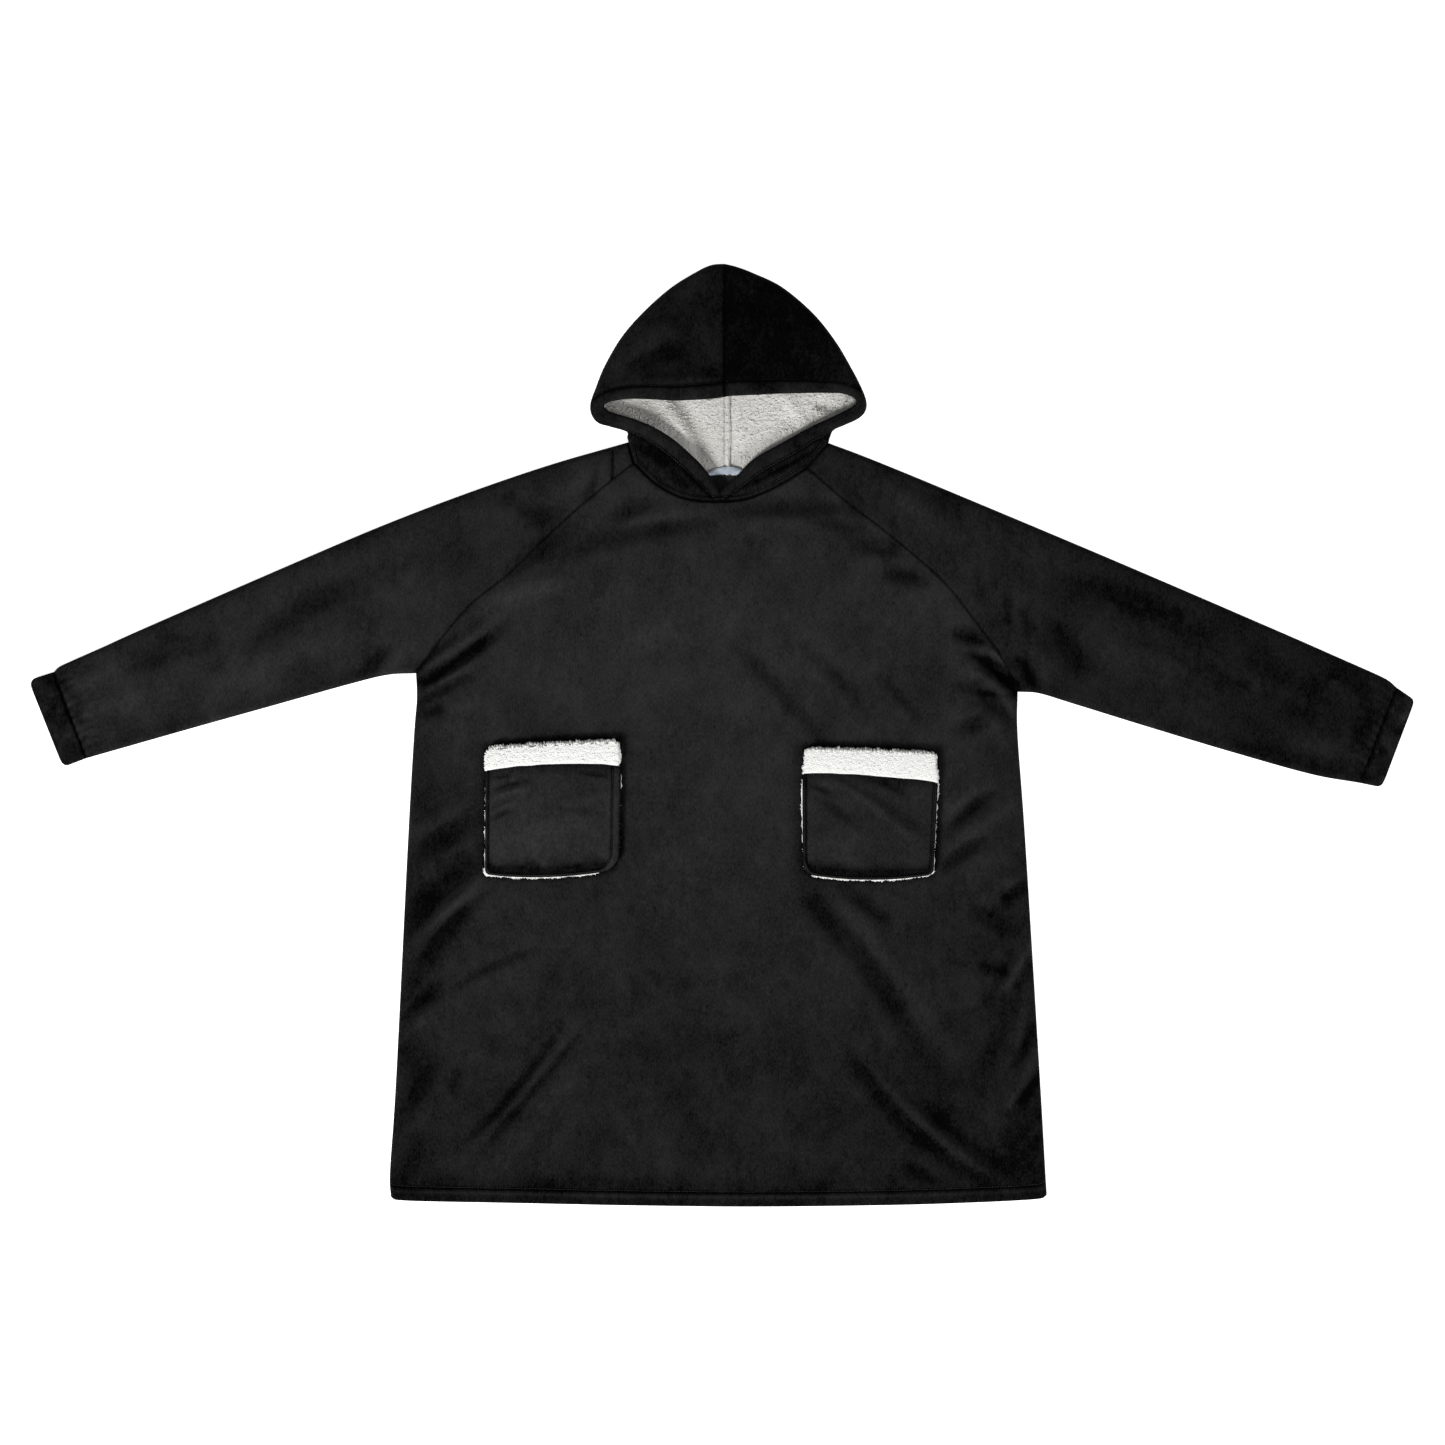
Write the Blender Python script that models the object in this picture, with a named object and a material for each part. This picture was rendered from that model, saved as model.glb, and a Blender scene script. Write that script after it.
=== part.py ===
"""Wearable blanket hoodie laid flat on its back: black flannel fleece outside, white sherpa inside.

Metres, +Z up. The floor is z = 0, the hem points along -Y and the hood along +Y.
Plan tables are in centimetres from the middle of the garment, and heights are in millimetres.
"""

from collections import namedtuple
from math import exp, pi, sin, sqrt

import bmesh
import bpy
from mathutils import Vector

CM = 0.01
MM = 0.001

# Cloth and layers
WALL = 7.0 * MM              # flannel and sherpa together
FLANNEL = 2.5 * MM           # the outer cloth alone, where the lining is a piece of its own
SHERPA = 4.5 * MM            # the hood's lining
GAP = 0.3 * MM               # between two pieces that are sewn together
MIDDLE = 8.0 * MM            # height at which the front and back layers meet
ROLL = 8.0 * MM              # radius of the roll along the outline
RIM = 0.8 * MM               # least height of a layer at the outline
FRONT_TOP = 16.0 * MM        # upper side of the front layer where it lies smooth
HOOD_TOP = 17.0 * MM         # upper side of the hood's front layer where it lies smooth

# Seams and turned edges
SEAM_DEPTH = 2.6 * MM
SEAM_WIDTH = 5.0 * MM
HEM = 15.0 * MM              # from the garment's bottom edge to its stitches
HOOD_HEM = 19.0 * MM         # from the hood's edge to its stitches
HEM_PUFF = 1.4 * MM
STITCH_DEPTH = 2.2 * MM
STITCH_WIDTH = 3.5 * MM
FREE_EDGE = 3.2 * MM         # rounding of an edge that is sewn to nothing
EDGE_LEFT = 0.16             # share of the wall's thickness left at such an edge

# Hood mouth
MOUTH_LIFT = 12.0 * MM       # how far the crown's edge stands over the smooth hood
MOUTH_DEPTH = 10.0 * CM      # how far up the hood that lift fades
MOUTH_HALF = 17.0 * CM       # half the width over which it fades
MOUTH_LINE = 42.0 * CM       # where the crown's edge crosses the middle
MOUTH_DROP = 4.0 * CM        # how far below that line the lift ends
MOUTH_CORNER = 10.2 * CM     # from here out the two layers of the hood lie close
FRONT_LIFT = 2.0 * MM        # the hood's lower fronts lie over the back neck
CORNER_LIFT = 4.0 * MM
SHORT_SECTION = 3.0 * CM     # a section shorter than this has a flatter hem
LINING_INSET = 3.0 * MM      # the lining ends this far inside the roll along the outline
LINING_SEAM_DEPTH = 1.6 * MM

# Pockets
POCKET_SHERPA = 3.0 * MM
POCKET_PATCH = 4.0 * MM
POCKET_CROWN = 2.5 * MM      # how far a patch stands up in its middle
POCKET_STITCH = 11.0 * MM
POCKET_STITCH_DEPTH = 1.3 * MM
POCKET_ROUNDING = 0.7        # below 1 the lower edge is flat in the middle with round corners
PEEK = 1.8 * MM              # how far the pocket lining shows past the patch
PLATEAU = 3.3 * CM           # the front lies smooth this far round a pocket
PLATEAU_FADE = 2.2 * CM

# Neck label, a low crescent
LABEL_THICK = 1.0 * MM
LABEL_BULGE = 0.6 * MM
LABEL_LEFT = -1.1 * CM
LABEL_LOW = 32.7 * CM
LABEL_WIDTH = 3.8 * CM
LABEL_HEIGHT = 1.1 * CM
LABEL_BOW = 0.55 * CM

# Where the points of a section lie, measured from one of its ends
AT_ROLL = [0.0, 0.9 * MM, 3.4 * MM, 8.0 * MM]
AT_SEAM = [0.0, 4.0 * MM, 11.0 * MM]
AT_HEM = [0.0, 0.8 * MM, 3.2 * MM, 8.0 * MM, 15.0 * MM, 20.0 * MM]
AT_HOOD_HEM = [0.0, 0.8 * MM, 4.0 * MM, 19.0 * MM, 25.0 * MM]
AT_CUFF_START = [0.0, 3.0 * MM, 9.0 * MM]
AT_CUFF_END = [0.0, 0.8 * MM, 3.2 * MM, 9.0 * MM]
FRONT_ROWS = 20              # rows of the front panel between its hem and its top seams
BACK_ROWS = 2
SLEEVE_POINTS = 3            # between the rolls on the front of a sleeve

Point = namedtuple("Point", "x y")
Section = namedtuple("Section", "edge_x edge_y rim_x rim_y back_y")
Crease = namedtuple("Crease", "x1 y1 x2 y2 width height")

# Points where several pieces meet
ARMPIT_LEFT = Point(-38.9, 7.7)
ARMPIT_RIGHT = Point(37.2, 5.4)
RAGLAN_TOP_LEFT = Point(-11.0, 34.0)
RAGLAN_TOP_RIGHT = Point(10.6, 33.4)
NECK_SIDE_LEFT = Point(-11.7, 36.6)
NECK_SIDE_RIGHT = Point(13.3, 36.5)
HEM_LEFT = Point(-41.15, -57.9)
HEM_RIGHT = Point(40.35, -57.7)
NECK_FRONT = Point(-1.0, 29.2)
NECK_BACK = Point(0.4, 32.5)
HOOD_PEAK = Point(0.3, 58.9)
CUFF_SEAM_TOP_LEFT = Point(-83.4, 8.0)
CUFF_SEAM_LOW_LEFT = Point(-79.4, -2.8)
CUFF_SEAM_TOP_RIGHT = Point(84.2, 6.1)
CUFF_SEAM_LOW_RIGHT = Point(79.7, -5.8)
CUFF_END_TOP_LEFT = Point(-86.4, 6.6)
CUFF_END_LOW_LEFT = Point(-82.0, -3.9)
CUFF_END_TOP_RIGHT = Point(86.4, 4.4)
CUFF_END_LOW_RIGHT = Point(82.4, -6.4)

# Outlines, each from one meeting point to the next
SIDE_LEFT = [HEM_LEFT, Point(-41.5, -54.4), Point(-40.75, -43.1), Point(-39.25, -13.1), Point(-38.5, 0.0),
             Point(-38.3, 4.5), ARMPIT_LEFT]
SIDE_RIGHT = [HEM_RIGHT, Point(40.4, -54.4), Point(39.75, -43.1), Point(37.9, -13.1), Point(37.2, 0.0),
              ARMPIT_RIGHT]
HEM_LINE = [HEM_LEFT, Point(-39.8, -58.15), Point(-26.4, -58.45), Point(-11.4, -58.75), Point(4.1, -58.9),
            Point(18.6, -58.75), Point(28.6, -58.5), Point(39.0, -58.0), HEM_RIGHT]
SLEEVE_TOP_LEFT = [CUFF_SEAM_TOP_LEFT, Point(-71.4, 13.6), Point(-51.4, 22.4), Point(-41.4, 26.6),
                   Point(-31.4, 30.4), Point(-21.4, 33.8), NECK_SIDE_LEFT]
SLEEVE_TOP_RIGHT = [CUFF_SEAM_TOP_RIGHT, Point(68.6, 13.4), Point(48.6, 22.0), Point(28.6, 30.4),
                    Point(18.6, 34.5), NECK_SIDE_RIGHT]
UNDERARM_LEFT = [CUFF_SEAM_LOW_LEFT, Point(-66.4, 0.8), Point(-56.4, 3.6), Point(-46.4, 6.4),
                 Point(-41.8, 7.6), ARMPIT_LEFT]
UNDERARM_RIGHT = [CUFF_SEAM_LOW_RIGHT, Point(73.6, -4.9), Point(63.6, -2.1), Point(53.6, 0.9),
                  Point(43.6, 4.0), Point(39.6, 5.3), ARMPIT_RIGHT]

# Seams inside the outline
RAGLAN_LEFT = [ARMPIT_LEFT, Point(-34.4, 12.9), Point(-31.0, 16.7), Point(-27.0, 19.9), Point(-22.1, 24.6),
               Point(-16.8, 29.4), RAGLAN_TOP_LEFT]
RAGLAN_RIGHT = [ARMPIT_RIGHT, Point(34.7, 10.0), Point(32.1, 13.6), Point(28.5, 18.3), Point(25.6, 21.1),
                Point(21.0, 25.0), Point(15.8, 29.0), RAGLAN_TOP_RIGHT]
FRONT_NECK_LEFT = [RAGLAN_TOP_LEFT, Point(-8.4, 31.5), Point(-5.75, 30.0), Point(-3.4, 29.35), NECK_FRONT]
FRONT_NECK_RIGHT = [RAGLAN_TOP_RIGHT, Point(7.4, 31.4), Point(3.75, 29.75), Point(1.4, 29.3), NECK_FRONT]
BACK_NECK_LEFT = [NECK_BACK, Point(-4.0, 32.5), Point(-8.0, 33.1), RAGLAN_TOP_LEFT]
BACK_NECK_RIGHT = [NECK_BACK, Point(4.2, 32.4), Point(7.8, 32.8), RAGLAN_TOP_RIGHT]

# Hood sections, from the peak round the corner to the neck: a point on the mouth's edge, a point on the
# outline, and how high up the back seam the same section ends on the back layer
HOOD_ROWS_LEFT = [
    Section(0.2, 42.1, HOOD_PEAK.x, HOOD_PEAK.y, 56.4),
    Section(-1.3, 41.95, -3.0, 58.0, 55.4),
    Section(-3.2, 41.8, -6.4, 55.9, 53.6),
    Section(-5.8, 41.7, -9.8, 52.9, 51.4),
    Section(-8.5, 41.8, -12.6, 49.7, 48.4),
    Section(-11.0, 41.9, -14.7, 46.1, 45.6),
    Section(-13.0, 41.75, -15.8, 43.4, 43.2),
    Section(-14.3, 41.45, -16.45, 41.5, 41.6),
    Section(-14.7, 41.0, -16.35, 40.1, 40.4),
    Section(-14.1, 40.65, -15.5, 39.0, 39.3),
    Section(-12.6, 40.05, -13.9, 38.5, 38.2),
    Section(-10.9, 39.35, -11.95, 37.9, 36.6),
    Section(-10.1, 39.0, -11.85, 37.2, 35.4),
    Section(-9.3, 38.65, NECK_SIDE_LEFT.x, NECK_SIDE_LEFT.y, NECK_BACK.y),
]
HOOD_ROWS_RIGHT = [
    Section(0.2, 42.1, HOOD_PEAK.x, HOOD_PEAK.y, 56.4),
    Section(1.9, 42.2, 3.7, 58.0, 55.4),
    Section(4.1, 42.35, 7.5, 56.0, 53.6),
    Section(6.9, 42.5, 11.4, 52.7, 51.4),
    Section(10.0, 42.6, 14.2, 49.2, 48.4),
    Section(12.8, 42.65, 16.1, 46.0, 45.6),
    Section(15.0, 42.6, 17.4, 43.5, 43.2),
    Section(16.4, 42.2, 18.05, 41.7, 41.6),
    Section(16.75, 41.5, 17.9, 40.4, 40.4),
    Section(16.1, 40.95, 17.0, 39.5, 39.3),
    Section(14.7, 40.15, 15.4, 38.75, 38.2),
    Section(12.9, 39.25, 13.95, 38.1, 36.6),
    Section(12.0, 38.8, 13.5, 37.2, 35.4),
    Section(11.1, 38.35, NECK_SIDE_RIGHT.x, NECK_SIDE_RIGHT.y, NECK_BACK.y),
]
ROUND_TOP = 4                # the sections before this one lie on the round top
# Edge of the hood's lower fronts, one point for each station of the front neck seam
FRONT_EDGE_LEFT = [Point(-7.75, 37.9), Point(-5.9, 36.6), Point(-4.2, 35.15), Point(-2.8, 33.8),
                   Point(-1.6, 32.2), Point(-0.9, 29.9)]
FRONT_EDGE_RIGHT = [Point(8.7, 37.0), Point(6.6, 35.85), Point(4.8, 34.95), Point(3.4, 34.0),
                    Point(1.9, 32.5), Point(-0.9, 29.9)]
BACK_SHARES = [0.0, 0.2, 0.4, 0.6, 0.8, 1.0]

# Shares of a seam's length at which the pieces on both sides of it have their points
RAGLAN_STATIONS = [0.0, 0.0034, 0.0125, 0.03, 0.08, 0.14, 0.2, 0.27, 0.34, 0.42, 0.51, 0.6, 0.7, 0.8,
                   0.9, 1.0]
NECK_STATIONS = [0.0, 0.2, 0.4, 0.6, 0.8, 1.0]
ARM_STATIONS = [0.0, 0.025, 0.08, 0.18, 0.3, 0.42, 0.54, 0.66, 0.78, 0.88, 0.96]
TOP_AT_ARMPIT_LEFT = 0.505   # share of the sleeve's top fold that lies out past the armpit
TOP_AT_ARMPIT_RIGHT = 0.535

# Pocket corners: the black patch, and the white band over it
POCKET_LEFT = dict(
    patch=[Point(-29.6, -17.2), Point(-12.6, -16.6), Point(-12.5, -4.0), Point(-29.5, -4.7)],
    band=[Point(-29.3, -4.6), Point(-13.0, -3.9), Point(-13.0, -0.75), Point(-29.1, -1.6)],
    sag=0.8,
)
POCKET_RIGHT = dict(
    patch=[Point(10.0, -17.2), Point(26.4, -17.3), Point(27.0, -6.1), Point(9.95, -5.1)],
    band=[Point(10.1, -4.9), Point(27.1, -6.0), Point(26.9, -2.2), Point(10.2, -1.7)],
    sag=0.8,
)

# Main folds of the front: centimetres from end to end and across, millimetres high, troughs below 0
CREASES = [
    Crease(-38.0, 6.5, -28.4, 12.9, 1.4, -5.4),
    Crease(-38.6, 9.5, -30.0, 14.6, 1.4, 3.4),
    Crease(-37.2, 4.2, -31.5, 7.0, 1.5, 3.6),
    Crease(-37.0, 1.8, -31.0, 3.4, 1.5, -2.6),
    Crease(-26.6, 19.7, -18.9, 25.5, 1.6, -2.8),
    Crease(-28.4, 16.9, -18.4, 19.5, 1.9, 3.0),
    Crease(-19.2, 22.8, -3.1, 26.4, 1.9, -2.6),
    Crease(-14.0, 27.0, -3.0, 28.2, 1.7, 2.2),
    Crease(2.0, 28.0, 15.0, 28.2, 1.7, -2.4),
    Crease(2.0, 25.6, 16.0, 25.2, 1.9, 2.4),
    Crease(36.7, 5.1, 31.4, 9.7, 1.4, -5.4),
    Crease(36.0, 1.8, 30.0, 5.8, 1.6, 3.8),
    Crease(33.6, 3.0, 29.5, -0.4, 1.6, -2.8),
    Crease(-38.9, -12.2, -34.0, -9.2, 1.6, 3.4),
    Crease(-38.4, -15.2, -33.0, -11.6, 1.6, -3.2),
    Crease(-38.8, -22.8, -31.9, -16.4, 1.7, -4.0),
    Crease(-38.6, -26.8, -30.0, -19.4, 1.7, 5.4),
    Crease(-37.6, -31.0, -31.0, -24.6, 1.7, -3.8),
    Crease(-39.6, -36.9, -35.2, -33.8, 1.6, 3.8),
    Crease(-39.4, -44.0, -36.0, -38.2, 1.6, -2.8),
    Crease(-39.6, -51.0, -36.2, -45.2, 1.7, 3.0),
    Crease(-33.0, -31.4, -23.6, -27.2, 1.6, -2.4),
    Crease(-31.4, -50.6, -19.6, -35.4, 1.8, -4.4),
    Crease(-27.8, -52.4, -16.0, -37.2, 1.9, 3.8),
    Crease(12.4, -22.6, 24.4, -39.4, 1.9, -4.0),
    Crease(16.6, -22.4, 27.8, -37.6, 1.9, 3.6),
    Crease(16.9, -41.6, 30.7, -54.2, 1.9, -4.8),
    Crease(20.4, -41.4, 34.8, -54.0, 1.9, 4.8),
    Crease(38.2, -24.6, 34.8, -31.6, 1.6, 4.2),
    Crease(37.9, -32.0, 35.2, -40.8, 1.6, 4.2),
    Crease(38.8, -39.6, 35.4, -46.4, 1.6, 3.6),
    Crease(35.6, -26.6, 32.4, -34.2, 1.7, -3.2),
    Crease(27.8, -14.6, 37.0, -7.6, 1.7, 4.6),
    Crease(33.0, -19.8, 38.0, -17.0, 1.6, 4.0),
    Crease(31.4, -15.8, 37.6, -12.2, 1.6, -3.4),
    Crease(28.0, -11.0, 34.4, -5.6, 1.6, -2.8),
    Crease(-24.2, 28.6, -15.0, 33.6, 1.8, 2.6),
    Crease(19.0, 31.8, 29.0, 25.6, 2.0, 2.6),
    Crease(-62.0, 6.0, -46.0, 14.0, 2.4, 2.8),
    Crease(-74.0, 8.4, -64.0, 12.4, 2.0, -2.4),
    Crease(46.0, 12.0, 60.0, 7.4, 2.4, 2.8),
    Crease(64.0, 9.6, 76.0, 4.2, 2.0, -2.4),
    Crease(38.6, 9.4, 45.0, 19.0, 1.8, -3.0),
]
# Folds of the hood
HOOD_CREASES = [
    Crease(-11.5, 47.5, -3.0, 53.5, 1.8, 2.8),
    Crease(4.0, 50.5, 12.5, 46.0, 1.9, 3.0),
    Crease(-9.4, 44.8, -2.0, 47.5, 1.5, -2.0),
    Crease(3.0, 46.4, 11.0, 49.6, 1.5, -2.2),
]
# The soft fold in the lining, seen through the mouth
LINING_FOLD = Crease(-8.5, 42.5, -3.2, 34.5, 1.5, 1.6)


def metres(point):
    """Turns a plan point in centimetres into a plan vector in metres."""
    return Vector((point.x * CM, point.y * CM))


def with_sections_between(rows):
    """The hood's sections with one more between each two on its round top, where they lie far apart."""
    made = []
    for index in range(ROUND_TOP):
        near = [rows[max(index - 1, 0)], rows[index], rows[index + 1], rows[index + 2]]
        middle = Section(*[(9 * (b + c) - a - d) / 16 for a, b, c, d in zip(*near)])
        made += [rows[index], middle]
    return made + rows[ROUND_TOP:]


class Curve:
    """A smooth plan line through points in centimetres, read at a share of its length."""

    STEPS = 5

    def __init__(self, points):
        knots = [metres(point) for point in points]
        path = [2 * knots[0] - knots[1]] + knots + [2 * knots[-1] - knots[-2]]
        self.line = [knots[0]]
        for a, b, c, d in zip(path, path[1:], path[2:], path[3:]):
            for step in range(1, self.STEPS + 1):
                t = step / self.STEPS
                bend = (2 * a - 5 * b + 4 * c - d) * t * t + (3 * b - a - 3 * c + d) * t * t * t
                self.line.append(0.5 * (2 * b + (c - a) * t + bend))
        self.marks = [0.0]
        for a, b in zip(self.line, self.line[1:]):
            self.marks.append(self.marks[-1] + (b - a).length)

    def at(self, share):
        wanted = share * self.marks[-1]
        for start, end, a, b in zip(self.marks, self.marks[1:], self.line, self.line[1:]):
            if wanted <= end:
                return a.lerp(b, (wanted - start) / (end - start))
        return self.line[-1].copy()


def distance_to(point, line):
    """Shortest way in plan from a point to a line of points."""
    best = 1.0
    for a, b in zip(line, line[1:]):
        along = b - a
        share = min(max((point - a).dot(along) / along.length_squared, 0.0), 1.0)
        best = min(best, (point - a - along * share).length)
    return best


def spread(length, near, between, far):
    """Distances along a section: some near its start, some near its end, the rest evenly between."""
    scale = min(1.0, 0.86 * length / (near[-1] + far[-1]))
    start = [distance * scale for distance in near]
    end = [length - distance * scale for distance in reversed(far)]
    step = (end[0] - start[-1]) / (between + 1)
    return start + [start[-1] + step * (count + 1) for count in range(between)] + end


def fold_height(point, creases):
    """Sum of the folds at a plan point, in metres."""
    total = 0.0
    for crease in creases:
        start = Vector((crease.x1 * CM, crease.y1 * CM))
        along = Vector((crease.x2 * CM, crease.y2 * CM)) - start
        share = (point - start).dot(along) / along.length_squared
        if -0.3 < share < 1.3:
            across = (point - start - along * share).length / (crease.width * CM)
            taper = sin(pi * (share + 0.3) / 1.6) ** 2
            total += crease.height * MM * taper * exp(-across * across)
    return total


def flat_round_pockets(point):
    """0 under and close round a pocket, where the front lies smooth, and 1 further away."""
    keep = 1.0
    for pocket in (POCKET_LEFT, POCKET_RIGHT):
        low, high = metres(pocket["patch"][0]), metres(pocket["band"][2])
        outside_x = max(low.x - point.x, point.x - high.x, 0.0)
        outside_y = max(low.y - point.y, point.y - high.y, 0.0)
        away = max(outside_x, outside_y) - PLATEAU
        ease = min(max(away / PLATEAU_FADE, 0.0), 1.0)
        keep = min(keep, ease * ease * (3 - 2 * ease))
    return keep


def groove(distance, depth, width):
    return -depth * exp(-(distance / width) ** 2)


def turned_edge(distance, hem):
    """Puff of a turned hem between its edge and its stitches, and the groove at the stitches."""
    puff = HEM_PUFF * sin(pi * distance / hem) if distance < hem else 0.0
    return puff + groove(distance - hem, STITCH_DEPTH, STITCH_WIDTH)


def round_free_edge(outer, inner, distance):
    """Draws both sides of a wall towards its middle at an edge that is sewn to nothing."""
    reach = min(distance / FREE_EDGE, 1.0)
    keep = max(EDGE_LEFT, sqrt(reach * (2.0 - reach)))
    centre = (outer.z + inner.z) / 2
    outer.z = centre + (outer.z - centre) * keep
    inner.z = centre + (inner.z - centre) * keep
    return outer, inner


def upper_layer(plan, height, distance, fold=None):
    """Outer and inner point of the layer on top, a distance in from the garment's outline.

    Where the cloth is folded over at the outline, fold is the plan direction that leads in from it.
    """
    reach = min(max(distance / ROLL, 0.0), 1.0)
    bend = sqrt(reach * (2.0 - reach))
    if fold is None:
        outer = MIDDLE + RIM + (height - MIDDLE - RIM) * bend
        inner = max(outer - WALL, MIDDLE + GAP / 2)
        return Vector((plan.x, plan.y, outer)), Vector((plan.x, plan.y, inner))
    inside = plan + fold * WALL * (1.0 - reach)
    outer = MIDDLE + (height - MIDDLE) * bend
    inner = MIDDLE + max(height - MIDDLE - WALL, GAP / 2) * bend
    return Vector((plan.x, plan.y, outer)), Vector((inside.x, inside.y, inner))


def lower_layer(plan, distance, fold=None, wall=WALL):
    """Outer and inner point of the layer on the floor, a distance in from the garment's outline."""
    reach = min(max(distance / ROLL, 0.0), 1.0)
    bend = sqrt(reach * (2.0 - reach))
    if fold is None:
        outer = (MIDDLE - RIM) * (1.0 - bend)
        inner = min(outer + wall, MIDDLE - GAP / 2)
        return Vector((plan.x, plan.y, outer)), Vector((plan.x, plan.y, inner))
    inside = plan + fold * WALL * (1.0 - reach)
    outer = MIDDLE * (1.0 - bend)
    inner = MIDDLE - (MIDDLE - wall) * bend
    return Vector((plan.x, plan.y, outer)), Vector((inside.x, inside.y, inner))


def inward(points, index, side):
    """Plan direction square to a line of points, to its left when side is 1 and right when -1."""
    before = points[max(index - 1, 0)]
    after = points[min(index + 1, len(points) - 1)]
    along = (after - before).normalized()
    return Vector((-along.y, along.x)) * side


def clear_of_seam(points, side):
    """A seam's line moved half the seam gap to one side."""
    return [point + inward(points, index, side) * GAP / 2 for index, point in enumerate(points)]


def material(name, colour, roughness):
    made = bpy.data.materials.new(name)
    made.use_nodes = True
    surface = made.node_tree.nodes["Principled BSDF"]
    surface.inputs["Base Color"].default_value = (*colour, 1.0)
    surface.inputs["Roughness"].default_value = roughness
    surface.inputs["Metallic"].default_value = 0.0
    return made


def cloth(name, sheets, finish, closed=False):
    """A closed wall of cloth from sheets of sections.

    Each sheet is a list of sections, and each section a list of pairs: an outer and an inner point.
    Sheets are welded where they meet, and a closed sheet is welded to its own first section.
    """
    mesh = bmesh.new()
    inner_point = mesh.verts.layers.float_vector.new("inner")
    for sections in sheets:
        last_section = len(sections) - 1
        last_point = len(sections[0]) - 1
        grid = bmesh.ops.create_grid(mesh, x_segments=last_section, y_segments=last_point, size=0.5)
        for vert in grid["verts"]:
            outer, inner = sections[round((vert.co.x + 0.5) * last_section)][
                round((vert.co.y + 0.5) * last_point)]
            vert.co = outer
            vert[inner_point] = inner
    if closed or len(sheets) > 1:
        bmesh.ops.remove_doubles(mesh, verts=mesh.verts, dist=0.02 * MM)
    inside = bmesh.ops.extrude_face_region(mesh, geom=mesh.faces[:])["geom"]
    for vert in [item for item in inside if isinstance(item, bmesh.types.BMVert)]:
        vert.co = vert[inner_point]
    bmesh.ops.recalc_face_normals(mesh, faces=mesh.faces)
    mesh.verts.layers.float_vector.remove(inner_point)
    data = bpy.data.meshes.new(name)
    mesh.to_mesh(data)
    mesh.free()
    data.materials.append(finish)
    data.shade_smooth()
    piece = bpy.data.objects.new(name, data)
    garment.objects.link(piece)
    return piece


def front_height(point):
    """Upper side of the front layer at a plan point, with its folds and seam grooves."""
    seam = min(distance_to(point, line) for line in (raglan_left.line, raglan_right.line, front_neck_line))
    folds = fold_height(point, CREASES) * flat_round_pockets(point)
    return FRONT_TOP + folds + groove(seam, SEAM_DEPTH, SEAM_WIDTH)


def body_panel(name, neck_left, neck_right, stations_between, at_top, layer):
    """A body panel in columns from the hem to the raglan and neck seams."""
    top = [raglan_left.at(share) for share in RAGLAN_STATIONS]
    top += neck_left[1:] + neck_right[-2::-1]
    top += [raglan_right.at(share) for share in reversed(RAGLAN_STATIONS[:-1])]
    top = clear_of_seam(top, -1)
    span = top[-1].x - top[0].x
    columns = []
    for high in top:
        share = (high.x - top[0].x) / span
        low = hem_line.at(share)
        low.x = hem_line.at(0.0).x + share * (hem_line.at(1.0).x - hem_line.at(0.0).x)
        length = (high - low).length
        column = []
        for distance in spread(length, AT_HEM, stations_between, at_top):
            up = distance / length
            bow_left = side_left.at(up) - side_left.at(0.0).lerp(side_left.at(1.0), up)
            bow_right = side_right.at(up) - side_right.at(0.0).lerp(side_right.at(1.0), up)
            plan = low.lerp(high, up) + bow_left * (1.0 - share) + bow_right * share
            edge = min(distance_to(plan, side_left.line), distance_to(plan, side_right.line))
            column.append(round_free_edge(*layer(plan, edge, distance), distance))
        columns.append(column)
    return cloth(name, [columns], flannel)


def front_panel():
    def layer(plan, edge, from_hem):
        return upper_layer(plan, front_height(plan) + turned_edge(from_hem, HEM), edge)
    return body_panel("front_panel", neck_front_left, neck_front_right, FRONT_ROWS, AT_SEAM, layer)


def back_panel():
    def layer(plan, edge, from_hem):
        return lower_layer(plan, edge)
    return body_panel("back_panel", neck_back_left[::-1], neck_back_right[::-1], BACK_ROWS, AT_SEAM[:2],
                      layer)


def sleeve(name, top, underarm, raglan, top_at_armpit, cuff_way, seam_side):
    """A raglan sleeve: sections from its lower edge in front, over the top fold, to that at the back."""
    low_line = [underarm.at(share) for share in ARM_STATIONS]
    high_line = [top.at(share * top_at_armpit) for share in ARM_STATIONS]
    seam = clear_of_seam([raglan.at(share) for share in RAGLAN_STATIONS], seam_side)
    low_line += seam
    high_line += [top.at(top_at_armpit + share * (1.0 - top_at_armpit)) for share in RAGLAN_STATIONS]
    low_line[0] += cuff_way * GAP / 2
    high_line[0] += cuff_way * GAP / 2
    neck_way = (low_line[-2] - low_line[-1]).normalized() * GAP / 2
    low_line[-1] = low_line[-1] + neck_way
    high_line[-1] = high_line[-1] + neck_way
    sections = []
    for low, high in zip(low_line, high_line):
        length = (low - high).length
        fold = (low - high).normalized()
        front, back = [], []
        for distance in spread(length, AT_ROLL, SLEEVE_POINTS, AT_ROLL):
            plan = high.lerp(low, distance / length)
            edge = distance_to(plan, top.line)
            under = distance_to(plan, underarm.line)
            if under < edge:
                front.append(upper_layer(plan, front_height(plan), under))
            else:
                front.append(upper_layer(plan, front_height(plan), edge if distance else 0.0, fold))
        for distance in spread(length, AT_ROLL, 0, AT_ROLL):
            plan = high.lerp(low, distance / length)
            edge = distance_to(plan, top.line)
            under = distance_to(plan, underarm.line)
            if under < edge:
                back.append(lower_layer(plan, under))
            else:
                back.append(lower_layer(plan, edge if distance else 0.0, fold))
        sections.append(front[::-1] + back[1:])
    return cloth(name, [sections], flannel)


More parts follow.
